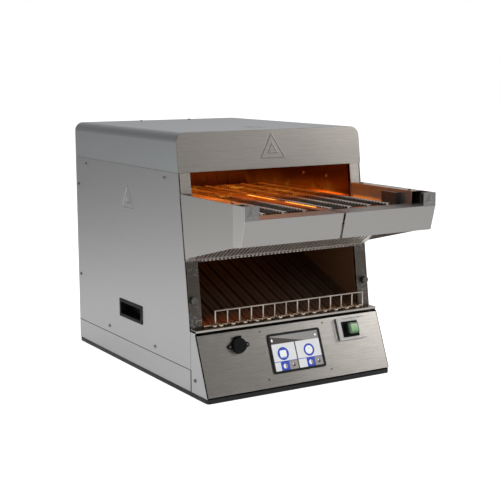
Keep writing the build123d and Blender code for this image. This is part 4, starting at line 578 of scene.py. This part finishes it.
def hot_sheet(name, metal, heat, roughness, front, low, power,
              stretch=LENGTHWISE, high=0.33, low_tone=None, metallic=1.0):
    """Mirror-like sheet with heat colours, and the elements' light painted on it as a glow in its
    emission.
    """
    made = Finish(name, metallic=metallic, emission_strength=power)
    brushing = made.effect("brushing", stretch=stretch, light=metal, dark=dimmed(metal, 0.7),
                           roughness=roughness, spread=0.2)
    tone = made.effect("heat_tint", metal=brushing["Color"], amount=heat)["Color"]
    if low_tone:
        level, band, colour = low_tone
        low_part = made.under(level, band)
        tone = made.mixed(low_part, tone, made.tinted(brushing["Color"], colour))
        made.feed("Metallic", made.between(low_part, 1.0, 0.25))
    made.feed("Base Color", tone)
    made.feed("Roughness", brushing["Roughness"])
    # Painted light: the elements' glow as emission.
    made.feed("Emission Color", made.effect("glow", front=front, low=low, high=high)["Color"])
    made.bump(brushing["Height"], 0.03 * MM, 0.3)
    return made.material


def machined(name, colour, roughness, heat=0.0, power=0.0, front=-0.2, foot=None):
    """Turned or drawn steel; foot is (level, band, colour) for a tone that takes over below, a
    painted highlight where it is used; power paints the elements' glow on as emission.
    """
    made = Finish(name, metallic=1.0, emission_strength=power)
    grain = made.effect("grain", scale=500.0)
    tone = made.mixed(grain["Mask"], colour, dimmed(colour, 0.6))
    if foot:
        level, band, bright = foot
        tone = made.mixed(made.under(level, band), tone, bright)
    if heat:
        tone = made.effect("heat_tint", metal=tone, amount=heat)["Color"]
    made.feed("Base Color", tone)
    made.feed("Roughness", made.between(grain["Mask"], roughness, roughness + 0.14))
    # Painted light: the elements' glow as emission.
    if power:
        made.feed("Emission Color", made.effect("glow", front=front, low=0.27, high=0.4)["Color"])
    made.bump(grain["Height"], 0.04 * MM, 0.3)
    return made.material


def belt_steel(name, hook_highlight, bay, roughness):
    """Belt wire: painted highlights as bright dashes on its hooks and a painted pale nose, sooty
    between the hooks, and the elements' painted glow as emission further in.
    """
    made = Finish(name, metallic=1.0, emission_strength=0.32)
    pitch = SPROCKETS_X[1] - SPROCKETS_X[0]
    hook_half = HOOK_HALF / pitch
    count = made.maths("DIVIDE", made.less(made.gap(made.x), SPROCKETS_X[0]), pitch)
    off = made.gap(count, made.maths("ROUND", count))
    hooks = made.ranged(off, hook_half + 0.05, hook_half + 0.01)
    # Painted light: the nose of the belt is lightened where the front light falls on it.
    lit_nose = made.ranged(made.y, BELT_NOSE_Y + 2 * MM, BELT_NOSE_Y - 4 * MM)
    turn = made.fraction(made.less(BELT_DRIVE_Y, made.y), LINK)
    # Painted highlights: bright dashes on the hooks, with near-black gaps between them.
    highlight_dash = made.larger(made.ranged(made.gap(turn, 0.5), 0.16, 0.26), lit_nose)
    soot = made.ranged(made.noise(170.0, 3.0, 0.6), 0.5, 0.58)
    lit = made.mixed(highlight_dash, paint(16, 12, 9), hook_highlight)
    lit = made.mixed(lit_nose, lit, paint(222, 216, 208))
    sooty = made.mixed(made.times(soot, 0.7), bay, paint(26, 16, 10))
    grain = made.effect("grain", scale=500.0)
    dulled = made.times(grain["Mask"], 0.4)
    made.feed("Base Color", made.mixed(dulled, made.mixed(hooks, sooty, lit), paint(60, 50, 44)))
    made.feed("Roughness", made.between(grain["Mask"], roughness, roughness + 0.14))
    # Painted light: the elements' glow as emission.
    glow = made.effect("glow", front=-0.22, low=0.27, high=0.4)["Color"]
    glow = made.mixed(made.times(soot, 0.85), glow, BLACK)
    shut = made.times(hooks, made.between(highlight_dash, 0.95, 0.2))
    made.feed("Emission Color", made.mixed(shut, glow, (0.03, 0.006, 0.001, 1)))
    made.bump(grain["Height"], 0.04 * MM, 0.3)
    return made.material


def glowing_sheath(name, power):
    made = Finish(name, emission_strength=power, roughness=0.6)
    patch = made.noise(22.0, 3.0)
    cooler, hotter = (1.0, 0.18, 0.015, 1), (1.0, 0.34, 0.05, 1)
    made.feed("Base Color", made.mixed(patch, paint(120, 60, 34), paint(70, 36, 24)))
    made.feed("Emission Color", made.mixed(made.ranged(patch, 0.35, 0.65), cooler, hotter))
    return made.material


# ---- enamel, mouldings and lights

def enamel(name, colour, streak):
    """Ribbed enamelled sheet, redder at the landing, with painted highlight on its ridge tops and
    painted shade in its grooves; higher up at the rear it takes patches of painted reflected glow,
    and the elements' painted glow as emission.
    """
    rear_z = 270.0 * MM
    landing_z = 116.0 * MM
    made = Finish(name, emission_strength=0.05)
    tint = made.effect("heat_tint", metal=colour, straw=streak, brown=dimmed(colour, 0.5),
                       amount=0.6)
    mask = tint["Mask"]
    below = made.under(rear_z, 15.0 * MM)
    tone = made.mixed(made.ranged(made.z, 0.14, 0.26), tint["Color"], paint(26, 10, 5))
    # Painted reflection: warm orange-brown patches of the elements' glow on the chute's back above
    # the rear level.
    tone = made.mixed(below, made.mixed(mask, paint(84, 36, 12), paint(48, 18, 6)), tone)
    step = made.fraction(made.x, RIDGE_PITCH)
    # Painted highlight on the ridge tops and painted shade in the grooves.
    ridge_highlight = made.ranged(made.gap(step, 0.2), 0.14, 0.02)
    ridge_highlight = made.times(ridge_highlight, made.ranged(made.z, rear_z, 0.12, 0.0, 0.6))
    groove_shade = made.ranged(made.gap(step, 0.55), 0.16, 0.05)
    tone = made.mixed(ridge_highlight, tone, paint(112, 86, 64))
    tone = made.mixed(made.times(groove_shade, made.times(below, 0.8)), tone, paint(10, 6, 4))
    right = made.ranged(made.x, -0.12, -0.02)
    landing_tone = made.mixed(right, paint(166, 80, 40), paint(104, 74, 54))
    tone = made.mixed(made.times(made.under(landing_z, 12.0 * MM), 0.8), tone, landing_tone)
    made.feed("Base Color", made.mixed(made.effect("crumbs")["Mask"], tone, paint(150, 96, 52)))
    gloss = made.ranged(mask, 0.3, 0.7, 0.3, 0.5)
    made.feed("Roughness", made.plus(gloss, made.between(below, 0.35, 0.0)))
    made.feed("Emission Color", made.effect("glow", front=-0.2, low=0.3, high=0.33)["Color"])
    made.bump(made.effect("grain", scale=420.0)["Height"], 0.06 * MM, 0.3)
    return made.material


def moulded(name, colour, roughness, scale, depth=0.05 * MM, coat=0.0, gloss=0.5):
    """Moulded, cast or coated surface with fine grain and edges rubbed paler."""
    made = Finish(name, coat_weight=coat, specular_ior_level=gloss)
    grain = made.effect("grain", scale=scale)
    rounded_edges = made.effect("edge_wear_and_shade", width=0.6 * MM)
    lifted = (*(min(1.0, c * 1.9 + 0.012) for c in colour[:3]), 1.0)
    tone = made.mixed(made.times(grain["Mask"], 0.3), colour, lifted)
    made.feed("Base Color", made.mixed(made.times(rounded_edges["Mask"], 0.5), tone, lifted))
    made.feed("Roughness", made.between(grain["Mask"], roughness, roughness + 0.12))
    made.bump(grain["Height"], depth, 0.4, rounded_edges["Normal"])
    return made.material


def green_key_plastic(name):
    """Black key body with a clear green lens over its outer few millimetres."""
    bevel = 2.4 * MM
    tilt = CONSOLE_PLANE.to_3x3() @ Matrix.Rotation(ROCKER_SWING, 3, "Y")
    middle = CONSOLE_PLANE @ (ROCKER_CENTRE - Vector((0, 0, ROCKER_PIVOT_DEPTH)))
    made = Finish(name, specular_ior_level=0.4, emission_strength=0.16)
    height = made.along(tilt @ Vector((0, 0, 1)), middle)
    lens = made.ranged(height, LENS_FOOT - 0.1 * MM, LENS_FOOT + 0.1 * MM)
    along = made.along(tilt @ Vector((1, 0, 0)), middle)
    up = made.along(CONSOLE_UP, middle)
    side_edge = LENS_HALF_WIDTH - bevel
    top_edge = LENS_HALF_HEIGHT - bevel + 0.2 * MM
    beside = made.ranged(made.gap(along), side_edge - 1.2 * MM, side_edge)
    above = made.ranged(made.gap(up), top_edge - 1.2 * MM, top_edge)
    right = made.ranged(along, 4.0 * MM, 9.0 * MM)
    # Painted highlight: the lens face lightens towards its top; the rim is painted pale on its
    # left and dark on its right as light and shade.
    cloud = made.ranged(made.noise(120.0, 2.0), 0.3, 0.7, -0.1, 0.1)
    pale = made.plus(made.ranged(up, -9.0 * MM, 9.0 * MM), cloud, True)
    face = made.mixed(pale, paint(74, 152, 70), paint(182, 206, 168))
    rim = made.mixed(right, paint(92, 116, 88), paint(16, 62, 20))
    green = made.mixed(made.larger(beside, above), face, rim)
    made.feed("Base Color", made.mixed(lens, paint(7, 7, 7), green))
    made.feed("Emission Color", made.mixed(lens, BLACK, green))
    made.feed("Roughness", made.between(lens, 0.5, 0.2))
    return made.material


def lit_colour(name, colour, power):
    """A colour of the lit display, under its glass."""
    made = Finish(name, emission_strength=power, roughness=0.12, coat_weight=0.6)
    haze = made.ranged(made.noise(60.0, 2.0), 0.3, 0.7)
    shade = made.mixed(haze, colour, dimmed(colour, 0.94))
    made.feed("Base Color", made.mixed(0.75, shade, (0.01, 0.01, 0.01, 1)))
    made.feed("Emission Color", shade)
    return made.material


# ---- finishes of the CAD nodes

# The body's stainless sheets are one steel; their light and dark colours below are set apart from
# face to face to match how brightly each face is lit, so part of each face's light and shade is
# painted into its colour.
FINISHES = {
    # The hood face's dark edge tone paints shade lines along its rounded edges.
    "hood_face": brushed(
        "hood_face_steel", paint(203, 197, 190), paint(175, 169, 162), HOOD_GRAIN,
        edge=0.85, edge_tone=paint(80, 76, 73), wide=HOOD_EDGE_WIDTH),
    "hood_top": brushed(
        "hood_top_steel", paint(186, 189, 191), paint(176, 179, 181), LENGTHWISE, 0.4,
        low_tone=(357.0 * MM, 16.0 * MM, paint(212, 212, 212))),
    "side": side_sheet("side_panel_steel", paint(181, 181, 181), paint(172, 172, 172)),
    "console": console_sheet("console_steel", paint(213, 208, 201), paint(177, 172, 166)),
    "shelf": shelf_front_sheet("shelf_front_steel", paint(146, 144, 142), paint(140, 138, 136)),
    "shelf_side": shelf_side_sheet("shelf_side_steel", paint(180, 178, 175), paint(172, 170, 167)),
    "frame": post_sheet("front_post_steel", paint(226, 218, 210), paint(182, 175, 168)),
    "back": brushed("back_panel_steel", paint(178, 178, 176), paint(166, 166, 164), UPRIGHT, 0.38),
    "guard": guard_sheet("guard_sheet", paint(250, 248, 245), paint(242, 240, 237)),
    "tray": brushed("tray_sheet", paint(158, 153, 147), paint(140, 135, 130), ACROSS, 0.2),
    "zinc": brushed("zinc_sheet", paint(160, 163, 166), paint(140, 143, 147), SPANGLE, 0.4, 0.2),
    "liner": hot_sheet(
        "chamber_liner_sheet", paint(150, 120, 94), heat=0.75, roughness=0.2, front=-0.21,
        low=0.27, power=0.16, high=0.312, low_tone=(262.0 * MM, 8.0 * MM, paint(208, 190, 172))),
    "pan": hot_sheet(
        "shelf_pan_sheet", paint(196, 188, 180), heat=0.12, roughness=0.34, front=-0.16,
        low=0.28, power=0.1, stretch=ACROSS, metallic=0.4),
    "rail": machined("rail_steel", paint(104, 88, 76), 0.4, heat=0.5, power=0.12, front=-0.29),
    "tool": machined("machined_steel", paint(118, 114, 110), 0.32),
    "screw": machined("screw_head_steel", paint(150, 147, 144), 0.26),
    # The pale tone below 119 mm is a painted highlight on the rack's hairpins.
    "wire": machined("plated_rack_wire", paint(196, 187, 176), 0.3,
                     foot=(119.0 * MM, 3.0 * MM, paint(240, 222, 200))),
    "belt": belt_steel("belt_wire_steel", paint(190, 180, 170), paint(92, 84, 78), 0.3),
    "enamel": enamel("chute_enamel", paint(44, 33, 25), paint(66, 46, 32)),
    "powder": moulded("black_powder_coat", paint(18, 19, 20), 0.5, 700.0, gloss=0.35),
    "plastic": moulded("black_plastic", paint(8, 8, 9), 0.55, 1100.0, gloss=0.2),
    "bezel": moulded("display_surround", paint(11, 11, 11), 0.34, 1400.0, 0.02 * MM, gloss=0.35),
    "rubber": moulded("foot_rubber", paint(34, 33, 33), 0.75, 500.0, 0.1 * MM),
    "ceramic": moulded("element_ceramic", paint(226, 218, 202), 0.7, 380.0, 0.1 * MM),
    "wool": moulded("fibre_blanket", paint(214, 204, 172), 0.95, 160.0, 1.2 * MM),
    "motor": moulded("gearmotor_casting", paint(74, 76, 78), 0.5, 420.0, 0.1 * MM),
    "board": moulded("circuit_board", paint(30, 96, 58), 0.4, 300.0, 0.04 * MM, coat=0.3),
    "glow": glowing_sheath("element_sheath", 3.8),
    "green": green_key_plastic("green_lens_plastic"),
}

NODES_OF_FINISH = {
    "hood_face": "hood_front",
    "hood_top": "hood_cover",
    "side": "left_side_panel right_side_panel side_skirts console_cheeks",
    "console": "console_panel",
    "shelf": "left_shelf_front right_shelf_front",
    "shelf_side": "left_shelf_side right_shelf_side",
    "frame": "front_frame",
    "back": "back_panel",
    "guard": "switch_guard",
    "tray": "crumb_tray",
    "zinc": "electronics_deck",
    "liner": "left_liner right_liner chamber_ceiling lower_reflector",
    "pan": "shelf_pan",
    "rail": "centre_rail belt_crossbars",
    "tool": "belt_bearings drive_chains left_drive_shaft right_drive_shaft left_idler right_idler "
            "left_motor_pinion right_motor_pinion left_thumbscrew right_thumbscrew",
    "screw": "button_screws console_studs fan_guard",
    "wire": "wire_rack",
    "belt": "left_belt right_belt",
    "enamel": "discharge_chute",
    "powder": "base_pan",
    "plastic": "handle_cups cord_gland fan_frame fan_rotor power_terminals switch_housing "
               "usb_cap usb_port",
    "bezel": "display_bezel touch_screen",
    "rubber": "rubber_feet",
    "ceramic": "heater_insulators",
    "wool": "hood_insulation",
    "motor": "gearmotors",
    "board": "control_board",
    "glow": "upper_heaters lower_heaters",
    "green": "power_rocker",
}


def dress(node, finish):
    held = NODES[node]
    if not held.material_slots:
        held.data.materials.append(FINISHES[finish])
    for place in held.material_slots:
        place.material = FINISHES[finish]


for finish, names in NODES_OF_FINISH.items():
    for node in names.split():
        dress(node, finish)


# ---- piece helpers

def mesh_of(name, shape):
    """The mesh of a finished bmesh."""
    mesh = bpy.data.meshes.new(name)
    shape.to_mesh(mesh)
    shape.free()
    return mesh


def placed(name, data):
    """A new object in the scene."""
    made = bpy.data.objects.new(name, data)
    bpy.context.scene.collection.objects.link(made)
    return made


def place_piece(name, data, body, replaced=()):
    """An object that rides on a body, in place of the CAD nodes it replaces."""
    made = placed(name, data)
    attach(made, body)
    if replaced:
        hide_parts(*replaced)


def piece(name, shape, materials, body, smooth=None):
    """A finished bmesh; smooth is the angle up to which its faces are shaded smooth."""
    mesh = mesh_of(name, shape)
    for material in materials:
        mesh.materials.append(material)
    if smooth is not None:
        mesh.shade_smooth()
        mesh.set_sharp_from_angle(angle=math.radians(smooth))
    place_piece(name, mesh, body)


def wires(name, runs, radius, finish, body, replaced, sides=0, kind="POLY"):
    """Bent wires as one curve object."""
    curve = bpy.data.curves.new(name, "CURVE")
    curve.dimensions = "3D"
    curve.bevel_depth = radius
    curve.bevel_resolution = sides
    curve.use_fill_caps = True
    for run in runs:
        spline = curve.splines.new(kind)
        spline.points.add(len(run) - 1)
        for point, place in zip(spline.points, run):
            point.co = (*place, 1.0)
        spline.use_smooth = True
        if kind == "NURBS":
            spline.order_u = 3
            spline.use_endpoint_u = True
    curve.materials.append(FINISHES[finish])
    place_piece(name, curve, body, [replaced])


def bevelled(shape, geom, offset, segments, affect):
    bmesh.ops.bevel(shape, geom=geom, offset=offset, offset_type="OFFSET", segments=segments,
                    profile=0.5, affect=affect, material=-1)


def onto_console(shape, place):
    """Moves a whole shape to its place on the console's slope."""
    matrix = CONSOLE_PLANE @ Matrix.Translation(place)
    bmesh.ops.transform(shape, matrix=matrix, verts=shape.verts)


def plate(shape, centre, half_width, half_height):
    """One flat face, square to the bmesh's axes."""
    matrix = Matrix.Translation(centre) @ Matrix.Diagonal((half_width, half_height, 1.0, 1.0))
    made = bmesh.ops.create_grid(shape, x_segments=1, y_segments=1, size=1.0, matrix=matrix)
    return made["verts"]


# ---- wire belts

def round_the_loop(along, lift=0.0):
    """(y, z) of a place along the belt's loop, lifted off its middle line."""
    along %= LOOP
    reach = BELT_WIRE_REACH + lift
    turn = math.pi * BELT_WIRE_REACH
    if along < STRAIGHT:
        return BELT_DRIVE_Y - along, BELT_AXIS_Z + reach
    along -= STRAIGHT
    if along < turn:
        angle = along / BELT_WIRE_REACH
        return BELT_NOSE_Y - reach * math.sin(angle), BELT_AXIS_Z + reach * math.cos(angle)
    along -= turn
    if along < STRAIGHT:
        return BELT_NOSE_Y + along, BELT_AXIS_Z - reach
    angle = (along - STRAIGHT) / BELT_WIRE_REACH
    return BELT_DRIVE_Y + reach * math.sin(angle), BELT_AXIS_Z - reach * math.cos(angle)


def belt_wire(side, start):
    """One cross wire, straight between the sprockets and hooked over the next wire at each."""
    hook_flat = HOOK_HALF - BELT_WIRE_RADIUS
    stops = [(BELT_INNER_X, 0)]
    for middle in SPROCKETS_X:
        for x, ahead in ((-HOOK_HALF, 0), (-hook_flat, 1), (hook_flat, 1), (HOOK_HALF, 0)):
            stops.append((middle + x, ahead))
    stops.append((BELT_OUTER_X, 0))
    places = []
    for x, ahead in stops:
        y, z = round_the_loop(start + ahead * HOOK_REACH, (2 * ahead - 1) * HOOK_DIP)
        places.append((side * x, y, z))
    return places


for hand, side in (("left", -1), ("right", 1)):
    runs = [belt_wire(side, place * LINK) for place in range(BELT_WIRE_COUNT)]
    wires(hand + "_wire_belt", runs, BELT_WIRE_RADIUS, "belt", "chassis",
          hand + "_belt")


# ---- rack of bent wire

# Bends of a foot and a hairpin, in millimetres from where the bar meets the foot rail.
RACK_FOOT = (
    (0, 0, 24), (0, 0, 7), (0, 0, 3.2), (-0.8, -1.2, 0.8), (-3.2, -3.6, 0.0), (-7.2, -5.0, 0.0),
)
RACK_HAIRPIN = (
    (2.4, 1.2, 3.4), (2.6, -6.0, 2.6), (2.8, -10.5, 1.2), (5.4, -11.2, 0.6), (8.4, -10.5, 1.2),
    (8.8, -6.0, 2.6), (9.0, 1.2, 3.4),
)


def rack_runs():
    """Two straight rails, then an upright with a bent foot and a hairpin for each bar."""
    first, last = RACK_BARS_X[0], RACK_BARS_X[-1]
    runs = [[(first, RACK_Y, RACK_TOP_Z), (last, RACK_Y, RACK_TOP_Z)],
            [(first - RACK_END_RAIL, RACK_Y, RACK_FOOT_Z), (last, RACK_Y, RACK_FOOT_Z)]]
    bends = [(first - RACK_END_HAIRPIN, RACK_HAIRPIN)]
    for x in RACK_BARS_X:
        bends.append((x, RACK_FOOT))
        if x != last:
            bends.append((x, RACK_HAIRPIN))
    for x, bend in bends:
        runs.append([(x + across * MM, RACK_Y + along * MM, RACK_FOOT_Z + up * MM)
                     for across, along, up in bend])
    return runs


def rack_welds():
    """Small rounded welds where the uprights meet the top rail."""
    shape = bmesh.new()
    for x in RACK_BARS_X:
        spot = bmesh.ops.create_icosphere(shape, subdivisions=2, radius=RACK_WELD_RADIUS)["verts"]
        bmesh.ops.translate(shape, verts=spot, vec=(x, RACK_Y, RACK_TOP_Z))
    piece("rack_welds", shape, [FINISHES["wire"]], "rack", smooth=60)


wires("bent_wire_rack", rack_runs(), RACK_WIRE_RADIUS, "wire", "rack", "wire_rack",
      sides=2, kind="NURBS")
rack_welds()


# ---- plinth lip

def base_lip():
    """Low black lip with round corners that closes the gap under the body."""
    shape = bmesh.new()
    centre = Vector((0.0, (LIP_FRONT_Y + LIP_BACK_Y) / 2, LIP_LOW))
    corners = plate(shape, centre, LIP_HALF_WIDTH, (LIP_BACK_Y - LIP_FRONT_Y) / 2)
    bevelled(shape, corners, LIP_CORNER, 6, "VERTICES")
    middle = shape.faces[:]
    bmesh.ops.inset_region(
        shape, faces=middle, thickness=LIP_DEPTH, use_boundary=True, use_even_offset=True
    )
    bmesh.ops.delete(shape, geom=middle, context="FACES")
    bmesh.ops.solidify(shape, geom=shape.faces[:], thickness=LIP_LOW - LIP_HIGH)
    bmesh.ops.recalc_face_normals(shape, faces=shape.faces)
    piece("base_lip", shape, [FINISHES["powder"]], "chassis", smooth=40)


base_lip()


# ---- display picture

def faces_of(verts):
    return {face for vert in verts for face in vert.link_faces}


def edges_of(verts):
    return {edge for vert in verts for edge in vert.link_edges}


def paint_faces(verts, finish):
    for face in faces_of(verts):
        face.material_index = finish


def tile(shape, left, low, right, top, lift, finish):
    """A flat panel, placed in millimetres from the screen's lower left corner."""
    centre = Vector(((left + right) / 2, (low + top) / 2, lift)) * MM
    made = plate(shape, centre, (right - left) * MM / 2, (top - low) * MM / 2)
    paint_faces(made, finish)
    return made


def circle(shape, x, y, radius, lift, segments, filled):
    matrix = Matrix.Translation(Vector((x, y, lift)) * MM)
    made = bmesh.ops.create_circle(
        shape, cap_ends=filled, segments=segments, radius=radius * MM, matrix=matrix
    )
    return made["verts"]


def disc(shape, x, y, radius, lift, finish, segments=32):
    made = circle(shape, x, y, radius, lift, segments, True)
    paint_faces(made, finish)
    return made


def ring(shape, x, y, outer, inner, lift, finish):
    rims = [vert for radius in (outer, inner)
            for vert in circle(shape, x, y, radius, lift, 40, False)]
    for face in bmesh.ops.bridge_loops(shape, edges=list(edges_of(rims)))["faces"]:
        face.material_index = finish


def halve(shape, verts, through, side):
    """Cuts what the vertices hold with a plane and keeps one side."""
    bmesh.ops.bisect_plane(
        shape, geom=[*verts, *edges_of(verts), *faces_of(verts)],
        plane_co=Vector(through) * MM, plane_no=Vector(side), clear_outer=True,
    )


SCREEN_COLOURS = (
    ("screen_dark_grey", paint(84, 79, 76), 0.75),
    ("screen_grey", paint(151, 150, 148), 0.75),
    ("screen_pale", paint(222, 223, 224), 0.85),
    ("screen_blue", paint(62, 80, 182), 0.85),
    ("screen_white", paint(236, 238, 236), 0.9),
    ("screen_cell_grey", paint(158, 154, 150), 0.75),
    ("screen_sky", paint(150, 178, 214), 0.85),
)
DARK, GREY, PALE, BLUE, WHITE_LIT, CELL, SKY = range(len(SCREEN_COLOURS))

# Heights of the display's layers over its glass, in millimetres.
GROUND, PANE, BADGE, ICON, SIGN, TICK, TOP_SIGN = 0.0, 0.05, 0.1, 0.12, 0.14, 0.16, 0.17

HEADER = SCREEN_HEIGHT * 0.765
ROW = SCREEN_HEIGHT * 0.25
ROW_MIDDLE = ROW * 0.47
BADGE_Y = SCREEN_HEIGHT * 0.475


def bread_badge(shape, x):
    """A slice of bread on a blue disc."""
    disc(shape, x, BADGE_Y, 11.2, BADGE, BLUE, 40)
    bread = tile(shape, x - 6.6, BADGE_Y - 5.8, x + 6.6, BADGE_Y + 5.8, SIGN, WHITE_LIT)
    bevelled(shape, list(bread), 2.4 * MM, 4, "VERTICES")
    tile(shape, x - 5.6, BADGE_Y - 7.4, x + 5.6, BADGE_Y - 5.4, TOP_SIGN, SKY)


def dial_badge(shape, x):
    """A blue ring with one tick."""
    ring(shape, x, BADGE_Y, 10.8, 7.4, BADGE, BLUE)
    disc(shape, x, BADGE_Y, 7.4, ICON, WHITE_LIT)
    tile(shape, x - 1.4, BADGE_Y + 2.0, x + 1.4, BADGE_Y + 2.9, TICK, BLUE)


def lane_pane(shape, left, right, middle, cells, badge):
    """The controls of one lane: a badge over a row of cells."""
    tile(shape, left, 0, right, HEADER, PANE, PALE)
    tile(shape, left, ROW - 0.2, right, ROW + 0.9, BADGE, BLUE)
    tile(shape, cells[0], 0, cells[1], ROW, BADGE, BLUE)
    tile(shape, cells[1], 0, cells[2], ROW, BADGE, CELL)
    badge(shape, middle)
    x = (cells[0] + cells[1]) / 2
    disc(shape, x, ROW_MIDDLE, 4.2, SIGN, CELL)
    lit = disc(shape, x, ROW_MIDDLE, 4.2, TOP_SIGN, WHITE_LIT)
    halve(shape, lit, (x, 0, 0), (1, 0, 0))
    x = (cells[1] + cells[2]) / 2
    disc(shape, x, ROW_MIDDLE, 3.0, SIGN, DARK, 24)
    disc(shape, x - 1.2, ROW_MIDDLE + 1.6, 1.3, TOP_SIGN, WHITE_LIT, 16)


def display_picture():
    """What the lit screen shows: a header and one pane for each belt."""
    shape = bmesh.new()
    tile(shape, 0, 0, SCREEN_WIDTH, SCREEN_HEIGHT, GROUND, DARK)
    lighter = tile(shape, 0, HEADER, SCREEN_WIDTH, SCREEN_HEIGHT, PANE, GREY)
    slope = Vector((SCREEN_WIDTH * 0.71, -(SCREEN_HEIGHT - HEADER) * 0.93, 0))
    halve(shape, lighter, (0, SCREEN_HEIGHT - 1.0, 0), (slope.y, -slope.x, 0))
    for left, right, middle, cells, badge in (
        (0.0, 0.474, 0.213, (0.124, 0.30, 0.474), bread_badge),
        (0.498, 1.0, 0.755, (0.665, 0.835, 1.0), dial_badge),
    ):
        cells = [share * SCREEN_WIDTH for share in cells]
        lane_pane(shape, left * SCREEN_WIDTH, right * SCREEN_WIDTH, middle * SCREEN_WIDTH,
                  cells, badge)
    tile(shape, 1.6, HEADER + 4.4, 5.0, HEADER + 7.4, ICON, WHITE_LIT)
    disc(shape, 3.3, HEADER + 7.6, 2.5, SIGN, WHITE_LIT, 3)
    disc(shape, SCREEN_WIDTH * 0.945, HEADER + 6.6, 2.0, ICON, WHITE_LIT, 20)
    corner = SCREEN_CENTRE - Vector((SCREEN_WIDTH / 2, SCREEN_HEIGHT / 2, -SCREEN_LIFT))
    onto_console(shape, corner * MM)
    colours = [lit_colour(*colour) for colour in SCREEN_COLOURS]
    piece("display_picture", shape, colours, "chassis")


display_picture()


# ---- screws of the round port

def port_screws():
    """Pan heads that hold the round port's ears."""
    shape = bmesh.new()
    for side in (-1, 1):
        head = bmesh.ops.create_cone(
            shape, cap_ends=True, segments=20, radius1=USB_SCREW_RADIUS,
            radius2=USB_SCREW_RADIUS, depth=USB_SCREW_HEIGHT,
        )["verts"]
        place = (side * USB_SCREW_SPAN / 2, 0, USB_SCREW_HEIGHT / 2)
        bmesh.ops.translate(shape, verts=head, vec=place)
    near_top = USB_SCREW_HEIGHT - 0.1 * MM
    rim = [edge for edge in shape.edges if all(vert.co.z > near_top for vert in edge.verts)]
    bevelled(shape, rim, 0.6 * MM, 3, "EDGES")
    onto_console(shape, USB_CENTRE)
    piece("port_screws", shape, [FINISHES["screw"]], "chassis", smooth=40)


port_screws()


# ---- studio

FLOOR_HALF_WIDTH = 9.0
LAMP_AIM = Vector((0.0, -0.05, 0.22))
LAMPS = (
    ("overhead_softbox", (0.2, -0.4, 2.2), (2.2, 1.6), 22.0),
    ("right_softbox", (1.9, -1.45, 1.2), (1.2, 0.9), 9.5),
    ("left_softbox", (-2.5, -0.6, 1.0), (1.4, 1.6), 8.0),
)
CAMERA_PLACE = (-1.04427, -1.80285, 0.54134)
CAMERA_YAW = math.radians(31.392)
CAMERA_PITCH = math.radians(9.258)
CAMERA_ROLL = math.radians(-0.159)
CAMERA_LENS = 81.33
CAMERA_SENSOR = 36.0


def seen_in_metal(nodes, seen):
    return nodes.larger(seen["Is Glossy Ray"], seen["Is Transmission Ray"])


def studio_floor():
    """Pale paper that keeps the shadow, and fades with distance where metal mirrors it."""
    shape = bmesh.new()
    bmesh.ops.create_grid(shape, x_segments=1, y_segments=1, size=FLOOR_HALF_WIDTH)
    mesh = mesh_of("studio_floor", shape)
    floor = placed("studio_floor", mesh)
    made = Finish("studio_floor_paper", roughness=0.9, specular_ior_level=0.0,
                  emission_color=WHITE)
    fibres = made.mixed(made.noise(90.0), (0.78, 0.78, 0.78, 1), (0.8, 0.8, 0.8, 1))
    made.feed("Base Color", fibres)
    seen = made.add("ShaderNodeLightPath").outputs
    away = made.vectors("LENGTH", made.where)["Value"]
    mirrored = made.times(seen_in_metal(made, seen), made.ranged(away, 0.7, 2.6, 0.58, 0.05))
    plain = made.times(seen["Is Camera Ray"], 0.75)
    made.feed("Emission Strength", made.larger(plain, mirrored))
    mesh.materials.append(made.material)


def studio_walls():
    """White to the camera and even for the light; metal mirrors a grey room, paler behind."""
    world = bpy.context.scene.world or bpy.data.worlds.new("studio")
    bpy.context.scene.world = world
    world.use_nodes = True
    tree = world.node_tree
    tree.nodes.clear()
    made = Nodes(tree, tree.nodes.new("ShaderNodeTexCoord").outputs["Generated"])
    across, along, height = made.axes()
    right = made.ranged(across, 0.4, 0.75, 0.0, 0.16)
    behind = made.ranged(along, 0.0, 0.8)
    behind = made.times(behind, made.ranged(across, -0.3, 0.4, 0.0, 0.62))
    wall = made.plus(0.27, made.plus(right, behind))
    shade = made.times(wall, made.ranged(height, 0.1, 0.8, 1.0, 0.6), True)
    ahead = made.times(made.ranged(along, 0.0, -0.6), made.ranged(height, 0.05, 0.4))
    shade = made.times(shade, made.between(ahead, 1.0, 0.4))
    room = made.add("ShaderNodeCombineColor", {0: shade, 1: shade, 2: shade}).outputs[0]
    seen = made.add("ShaderNodeLightPath").outputs
    colour = made.mixed(seen_in_metal(made, seen), (0.5, 0.5, 0.5, 1), room)
    colour = made.mixed(seen["Is Camera Ray"], colour, WHITE)
    backdrop = made.add("ShaderNodeBackground", {"Color": colour, "Strength": 1.0})
    output = tree.nodes.new("ShaderNodeOutputWorld")
    tree.links.new(backdrop.outputs[0], output.inputs[0])


def studio_lamps():
    for name, place, size, power in LAMPS:
        lamp = bpy.data.lights.new(name, "AREA")
        lamp.shape = "RECTANGLE"
        lamp.size, lamp.size_y = size
        lamp.energy = power
        held = placed(name, lamp)
        held.location = place
        towards = LAMP_AIM - Vector(place)
        held.rotation_euler = towards.to_track_quat("-Z", "Y").to_euler()


def camera():
    lens = bpy.data.cameras.new("camera")
    lens.sensor_width = CAMERA_SENSOR
    lens.lens = CAMERA_LENS
    lens.clip_end = 50.0
    held = placed("camera", lens)
    held.matrix_world = (
        Matrix.Translation(CAMERA_PLACE)
        @ Matrix.Rotation(-CAMERA_YAW, 4, "Z")
        @ Matrix.Rotation(math.pi / 2 - CAMERA_PITCH, 4, "X")
        @ Matrix.Rotation(CAMERA_ROLL, 4, "Z")
    )
    bpy.context.scene.camera = held


studio_floor()
studio_walls()
studio_lamps()
camera()
bpy.context.scene.view_settings.view_transform = "Standard"
